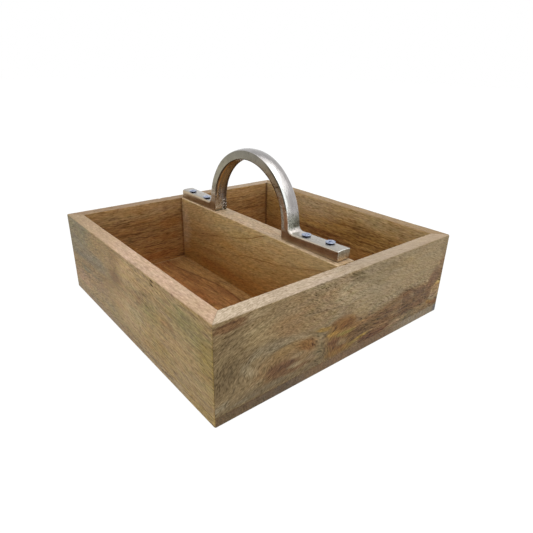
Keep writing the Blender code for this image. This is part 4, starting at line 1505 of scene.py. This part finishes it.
def cast_metal():
    net = Net('mat_cast_aluminium')
    at = net.mm
    cloud = net.noise(at, (12, 12, 12), 1.3, 2, 0.5)
    speck = net.noise(at, (1.2, 1.2, 1.2), 3.7, 2, 0.65)
    grit = net.noise(at, (0.6, 0.6, 0.6), 6.9, 1, 0.5)
    pits = net.step(grit + speck * 0.6, 0.42, 0.95)
    # across the bar, from the arch's centre line
    rx = net.x - (HANDLE_X * 1000.0 + 0.4)
    rise = net.math('MAXIMUM', net.z - (RIM_Z + ARCH_Z) * 1000.0, 0.0)
    r = net.math('SQRT', rx * rx + rise * rise)
    round_it = net.vec(net.math('ARCTAN2', rise, rx) * 52.0
                       - net.math('MINIMUM', net.z, 84.5), net.y, r * 0.5)
    hammer = net.noise(round_it, (6.0, 2.4, 5.0), 4.4, 2, 0.6)
    scratch = net.noise(round_it, (8.0, 0.55, 4.0), 7.3, 1, 0.5)
    nick = net.noise(round_it, (2.2, 0.8, 2.0), 9.4, 1, 0.5)
    # the skin is left rougher low on the legs, and the sides are dull
    low = net.step(net.z, 108, 94)
    leg = low * net.step(net.nx, 0.4, 0.8) * net.step(net.x, 62, 57)
    turn = net.math('ABSOLUTE', net.ny)
    side = net.step(turn, 0.55, 0.85)
    above = net.step(net.z, 84, 88) * net.step(net.ny, 0.0, -0.1)
    c = net.mix(net.step(cloud, -0.9, 0.9), screen(158, 154, 152),
                screen(172, 168, 167))
    # painted shade darkens the arch's top, and painted highlights light its outer
    # face, most on the near half
    c = net.mix(net.step(net.nz, 0.80, 0.97) * net.step(net.z, 110, 125), c,
                screen(152, 149, 148))
    c = net.mix(net.step(net.nx, 0.3, 0.6) * net.span(net.z, 112, 134, 6)
                * net.step(net.y, 5.0, 0.5) * 0.7, c, screen(184, 182, 180))
    c = net.mix(net.step(net.y, 1.5, -2.5) * net.step(net.nx, 0.3, 0.6)
                * net.span(net.z, 98, 136, 4) * 0.70, c, screen(216, 215, 211))
    c = net.mix(low * net.step(net.nx, 0.75, 0.4), c, screen(166, 161, 153))
    c = net.mix(leg * net.step(net.z, 104, 90), c,
                net.mix(net.step(net.y, 5, -2), screen(132, 134, 121),
                        screen(155, 157, 144)))
    # painted highlight in the hollow where the leg meets the foot
    fillet_highlight = (net.span(net.x, 54.5, 66.0, 2.0) * net.step(net.z, 90, 85)
              * net.step(net.nz, 0.1, 0.4))
    c = net.mix(fillet_highlight * 0.8, c, screen(197, 190, 184))
    # the free end of the right foot, paler and warmer towards the wood below it:
    # a painted reflection of that wood
    end = net.step(net.nx, 0.7, 0.9) * net.step(net.x, 100, 104)
    c = net.mix(end, c, net.mix(net.step(net.z, 82.5, 77.5),
                                screen(156, 152, 140), screen(214, 200, 178)))
    # sides: painted reflections, grey on the arch, warm and paler on the legs and
    # feet
    flank_reflection = net.mix(net.step(net.x, -10, 10), screen(140, 134, 116),
                    screen(126, 109, 86))
    flank_reflection = net.mix(net.step(net.z, 122, 140), flank_reflection, screen(122, 118, 107))
    flank_reflection = net.mix(net.step(net.z - net.step(net.x, -20, 20) * 16.0, 102, 91),
                    flank_reflection, screen(212, 203, 186))
    flank_reflection = net.mix(net.step(net.z, 86, 82), flank_reflection, screen(188, 172, 150))
    flank_reflection = net.mix(net.step(net.x, -56, -62), flank_reflection, screen(176, 157, 130))
    dull = side * low * net.step(net.z, 82, 87) * net.step(r, 52.3, 50.6)
    dull = dull * net.step(net.x, 30, 40)
    flank_reflection = net.mix(dull * 0.85, flank_reflection, screen(196, 200, 190))
    # painted reflections on the leg's side: an orange strip, and dark lines along
    # its edges
    flank_reflection = net.mix(side * low * net.step(net.z, 84, 88)
                    * net.step(net.x, 30, 40) * net.step(r, 51.4, 52.6)
                    * 0.6, flank_reflection, screen(232, 186, 140))
    flank_reflection = net.mix(net.step(r, 48.9, 48.3) * net.step(net.x, -20, 10)
                    * net.step(net.z, 84, 90) * 0.4, flank_reflection, screen(92, 62, 38))
    flank_reflection = net.mix(net.step(r, 54.3, 54.9) * net.step(net.x, 20, 32)
                    * net.step(net.z, 98, 106) * 0.7, flank_reflection,
                    screen(64, 60, 48))
    c = net.mix(side, c, flank_reflection)
    # the arris towards the near side carries a painted highlight line, with a
    # painted dark reflection beside it
    arris_glint = above * net.step(net.z, 136, 120) * net.step(nick, -0.9, -0.2)
    first = net.step(net.z, 96, 106, 0.42, 0.26)
    c = net.mix(arris_glint * net.span(turn, first, 0.68, 0.05) * 0.95, c,
                screen(250, 254, 250))
    c = net.mix(arris_glint * net.span(turn, 0.76, 0.97, 0.04)
                * net.step(net.z, 94, 102, 0.3, 0.85), c, screen(50, 50, 42))
    # painted highlight along the top arris of the right foot's free end
    c = net.mix(net.span(net.nz, 0.42, 0.86, 0.08)
                * net.span(net.nx, 0.42, 0.86, 0.08)
                * net.step(net.x, 104, 106) * 0.8, c, screen(236, 236, 232))
    # inside of the arch and of the left leg: painted reflections of the wood, a
    # golden line along the near edge, dark strips to either side, paler and
    # warmer at the foot
    under = net.math('MAXIMUM', net.step(net.nx, 0.2, 0.6)
                     * net.step(net.x, -36, -42), net.step(net.nz, -0.2, -0.5))
    under = under * net.step(net.z, 76.5, 77.5)
    across = net.y + speck * 0.25 + cloud * 0.5
    soffit_reflection = net.mix(net.span(across, -1.6, 5.2, 0.8), screen(122, 118, 114),
                    screen(172, 176, 184))
    soffit_reflection = net.mix(net.span(across, -3.5, -1.7, 0.55) * 0.85, soffit_reflection,
                    screen(228, 212, 184))
    soffit_reflection = net.mix(net.span(across, 1.2, 2.2, 0.4) * 0.4, soffit_reflection,
                    screen(220, 208, 186))
    soffit_reflection = net.mix(net.step(net.z, 93, 84), soffit_reflection, net.mix(
        net.step(across, 5.5, 0.5), screen(140, 132, 120),
        screen(192, 176, 154)))
    c = net.mix(under, c, soffit_reflection)
    grainy = leg + dull * 0.9
    c = net.tint(c, scratch * 0.07 + hammer * 0.09
                 + speck * (low * 0.06 + grainy * 0.50 + 0.03)
                 + grit * (grainy * 0.60 + 0.05)
                 - pits * (grainy * 0.45 + 0.06)
                 - net.step(nick, 0.55, 1.0) * 0.22)
    # blow holes at the foot of the left leg's inner face, with painted white
    # glints and painted shade in them
    holes = (net.span(net.x, -53, -48, 0.5) * net.step(net.z, 90, 85)
             * net.step(net.y, 2.0, 4.5) * net.step(net.nx, 0.2, 0.6))
    few = (net.span(net.x, -53, -48, 0.5) * net.span(net.z, 91, 96, 1)
           * net.step(net.y, 0.0, -2.0) * net.step(net.nx, 0.2, 0.6))
    holes = net.math('MAXIMUM', holes, few * 0.8)
    cell = net.noise(at, (1.2, 1.2, 1.2), 8.2, 1, 0.5)
    c = net.mix(holes * net.step(cell, 0.20, 0.60), c, screen(252, 250, 246))
    c = net.mix(holes * net.step(cell, -0.20, -0.65), c, screen(44, 36, 28))
    net.socket('Base Color', c)
    net.bsdf.inputs['Metallic'].default_value = 1.0
    net.socket('Roughness', net.math('ADD', cloud * 0.03 + scratch * 0.02,
                                     low * side * 0.10 + leg * 0.08
                                     + dull * 0.12 + fillet_highlight * 0.14 + 0.20,
                                     clamp=True))
    net.bump(scratch * 0.2 + hammer * 0.9 - net.step(nick, 0.55, 1.0) * 0.5
             + speck * (low * 0.6 + leg * 0.9 + 0.12) + cloud * 0.4
             + grit * (leg * 0.7 + 0.05) - pits * (leg * 1.6 + 0.15)
             + holes * cell * 2.0, 0.45, 0.00014)
    return net.mat


def zinc(name='mat_zinc_screw'):
    net = Net(name)
    cloud = net.noise(net.mm, (2.2, 2.2, 2.2), 5.2, 2, 0.6)
    fine = net.noise(net.mm, (0.35, 0.35, 0.35), 6.3, 2, 0.6)
    c = net.mix(net.step(cloud, -0.8, 0.8), screen(122, 132, 158),
                screen(176, 185, 204))
    net.socket('Base Color', net.tint(c, fine * 0.06))
    net.bsdf.inputs['Metallic'].default_value = 1.0
    net.socket('Roughness', cloud * 0.04 + 0.20)
    net.bump(fine, 0.12, 0.00005)
    return net.mat


# ===================================================================== pieces
wood = {'wall_front': wood_front(), 'wall_right': wood_right(),
        'wall_back': wood_back(), 'wall_left': wood_left(),
        'divider': wood_divider(), 'base_board': wood_base()}
metal = cast_metal()
plating = zinc()


def put(name, mesh, mat, node):
    ob = new_object(name, mesh, mat)
    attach(ob, "root")
    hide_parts(node)
    return ob


place = (Matrix.Translation((HANDLE_X + 0.0004, HANDLE_Y + 0.0003,
                             RIM_Z + GAP * 0.5))
         @ Matrix.Rotation(HANDLE_YAW, 4, 'Z'))
tops = [place @ Matrix.Translation(
            (x, y, foot_height(x) + CROWN_FOOT * 0.8 + HANDLE_SCREW_PROUD))
        for x, y in HANDLE_SCREW_AT]
seat = screw_seat(0.0040, 0.0020, 0.0004, 0.0290, 0.0050, 0.0045, 0.004)
sunk = screw_seat(0.0035, 0.00175, 0.0003, 0.0280, 0.0045, 0.004, 0.004, 40)
hole = pilot_hole(0.00175 + GAP, BASE_SCREW_SUNK + 0.0280 + 0.0015,
                  BASE_T - 0.002)

drilled = []
board_facts = {'wall_front': (WIDTH / 2, DEPTH / 2, 0.0, 1),
               'wall_right': (DEPTH / 2, WIDTH / 2, 90.0, 2),
               'wall_back': (WIDTH / 2, DEPTH / 2, 180.0, 3),
               'wall_left': (DEPTH / 2, WIDTH / 2, 270.0, 4)}
for node, (half, outer, turn, seed) in board_facts.items():
    mesh = wall_mesh(node + '_board', half, outer, turn, seed)
    about = Matrix.Rotation(math.radians(turn), 4, 'Z')
    spots = [about @ Vector((k * BASE_SCREW_REACH, -outer + WALL_T / 2, 0.0))
             for k in (-1, 1)]
    drilled += spots
    cuts = [(hole, Matrix.Translation(p)) for p in spots]
    if node == 'wall_front':
        # two short splits in the outer face, close under the rim
        for x, z, half_len, lean in ((0.0500, 0.0730, 0.0034, -10.0),
                                     (0.0500, 0.0702, 0.0035, -9.0)):
            lens = turned('split', [(0.00066 * (1 - (k / 8) ** 2), half_len
                                     * k / 8) for k in range(8, -9, -1)], 20)
            cuts.append((lens, Matrix.Translation((x, -outer, z))
                         @ Matrix.Rotation(math.radians(90 - lean), 4, 'Y')
                         @ Matrix.Diagonal((1.0, 2.2, 1.0, 1.0))))
    mesh = carve(mesh, [joined('holes', cuts)])
    put(node + '_board', mesh, wood[node], node)

from_below = [Vector((k * BASE_SCREW_REACH * 0.6, DIVIDER_Y, 0.0))
              for k in (-1, 1)]
drilled += from_below
mesh = carve(divider_mesh('divider_board'), [joined(
    'holes', [(seat, m) for m in tops]
    + [(hole, Matrix.Translation(p)) for p in from_below])])
put('divider_board', mesh, wood['divider'], 'divider')

head_down = Matrix.Rotation(math.pi, 4, 'X')
mesh = carve(base_mesh('base_slab'), [joined('holes', [
    (sunk, Matrix.Translation((p.x, p.y, BASE_SCREW_SUNK)) @ head_down)
    for p in drilled])])
put('base_slab', mesh, wood['base_board'], 'base_board')

mesh = handle_mesh('handle_casting')
to_handle = place.inverted()
mesh = carve(mesh, [joined('holes', [(seat, to_handle @ m) for m in tops])],
             sharp=60.0)
for face in mesh.polygons:
    if abs(face.normal.x) > 0.95 and abs(face.center.x) > FOOT_HALF - 0.0003:
        face.use_smooth = False
mesh.transform(place)
put('handle_casting', mesh, metal, 'handle')

screw = screw_mesh('screw', 0.0040, 0.0020, 0.0004, 0.00025, 0.0290, 0.0050,
                   0.0023, 0.0011, 0.0019, 0.0018)
for k, m in enumerate(tops):
    one = screw.copy()
    one.transform(m @ Matrix.Rotation(math.radians(HANDLE_SCREW_TURN[k]),
                                      4, 'Z'))
    put('handle_fixing_%d' % (k + 1), one, plating,
        'handle_screw_%d' % (k + 1))
screw = screw_mesh('screw', 0.0035, 0.00175, 0.0003, 0.00008, 0.0280, 0.0045,
                   0.0020, 0.0010, 0.0016, 0.0016)
for k, p in enumerate(drilled):
    one = screw.copy()
    one.transform(Matrix.Translation((p.x, p.y, BASE_SCREW_SUNK))
                  @ Matrix.Rotation(math.radians(37 * k), 4, 'Z') @ head_down)
    put('base_fixing_%d' % (k + 1), one, plating,
        'base_screw_%d' % (k + 1))

# ====================================================================== stage
bm = bmesh.new()
bmesh.ops.create_grid(bm, x_segments=4, y_segments=4, size=6.0)
floor_mesh = bpy.data.meshes.new('floor')
bm.to_mesh(floor_mesh)
bm.free()
pale = bpy.data.materials.new('mat_floor')
pale.use_nodes = True
bsdf = next(n for n in pale.node_tree.nodes if n.type == 'BSDF_PRINCIPLED')
bsdf.inputs['Base Color'].default_value = (0.05, 0.05, 0.05, 1.0)
bsdf.inputs['Roughness'].default_value = 1.0
bsdf.inputs['Specular IOR Level'].default_value = 0.0
bsdf.inputs['Emission Color'].default_value = (1.0, 1.0, 1.0, 1.0)
bsdf.inputs['Emission Strength'].default_value = 0.98
floor = new_object('floor', floor_mesh, pale)

world = bpy.data.worlds.new('studio')
bpy.context.scene.world = world
world.use_nodes = True
sky = next(n for n in world.node_tree.nodes if n.type == 'BACKGROUND')
sky.inputs['Color'].default_value = (1.0, 1.0, 1.0, 1.0)
sky.inputs['Strength'].default_value = 1.0


def softbox(name, at, target, size, power, tint=(1.0, 1.0, 1.0)):
    lamp = bpy.data.lights.new(name, 'AREA')
    lamp.shape = 'RECTANGLE'
    lamp.size, lamp.size_y = size
    lamp.energy = power
    lamp.color = tint
    ob = bpy.data.objects.new(name, lamp)
    bpy.context.scene.collection.objects.link(ob)
    ob.location = at
    away = Vector(at) - Vector(target)
    ob.rotation_euler = away.to_track_quat('Z', 'Y').to_euler()
    return ob


softbox('top_light', (0.03, 0.05, 1.2), (0, 0, 0.05), (1.2, 1.1), 5.2)
softbox('side_light', (0.45, 0.50, 1.02), (0.04, 0.0, 0.11), (0.9, 0.8), 1.9)

scene = bpy.context.scene
scene.view_settings.view_transform = 'Standard'
scene.view_settings.look = 'None'

lens = bpy.data.cameras.new('camera')
lens.sensor_width = 36.0
lens.lens = 30.178
lens.shift_x = 0.00826
lens.shift_y = 0.0032
lens.clip_start, lens.clip_end = 0.01, 50.0
camera = bpy.data.objects.new('camera', lens)
scene.collection.objects.link(camera)
camera.location = (0.306125, -0.237725, 0.206675)
camera.rotation_euler = Euler([math.radians(a) for a in
                               (65.638, -1.093, 51.014)], 'XYZ')
scene.camera = camera

bpy.context.view_layer.update()
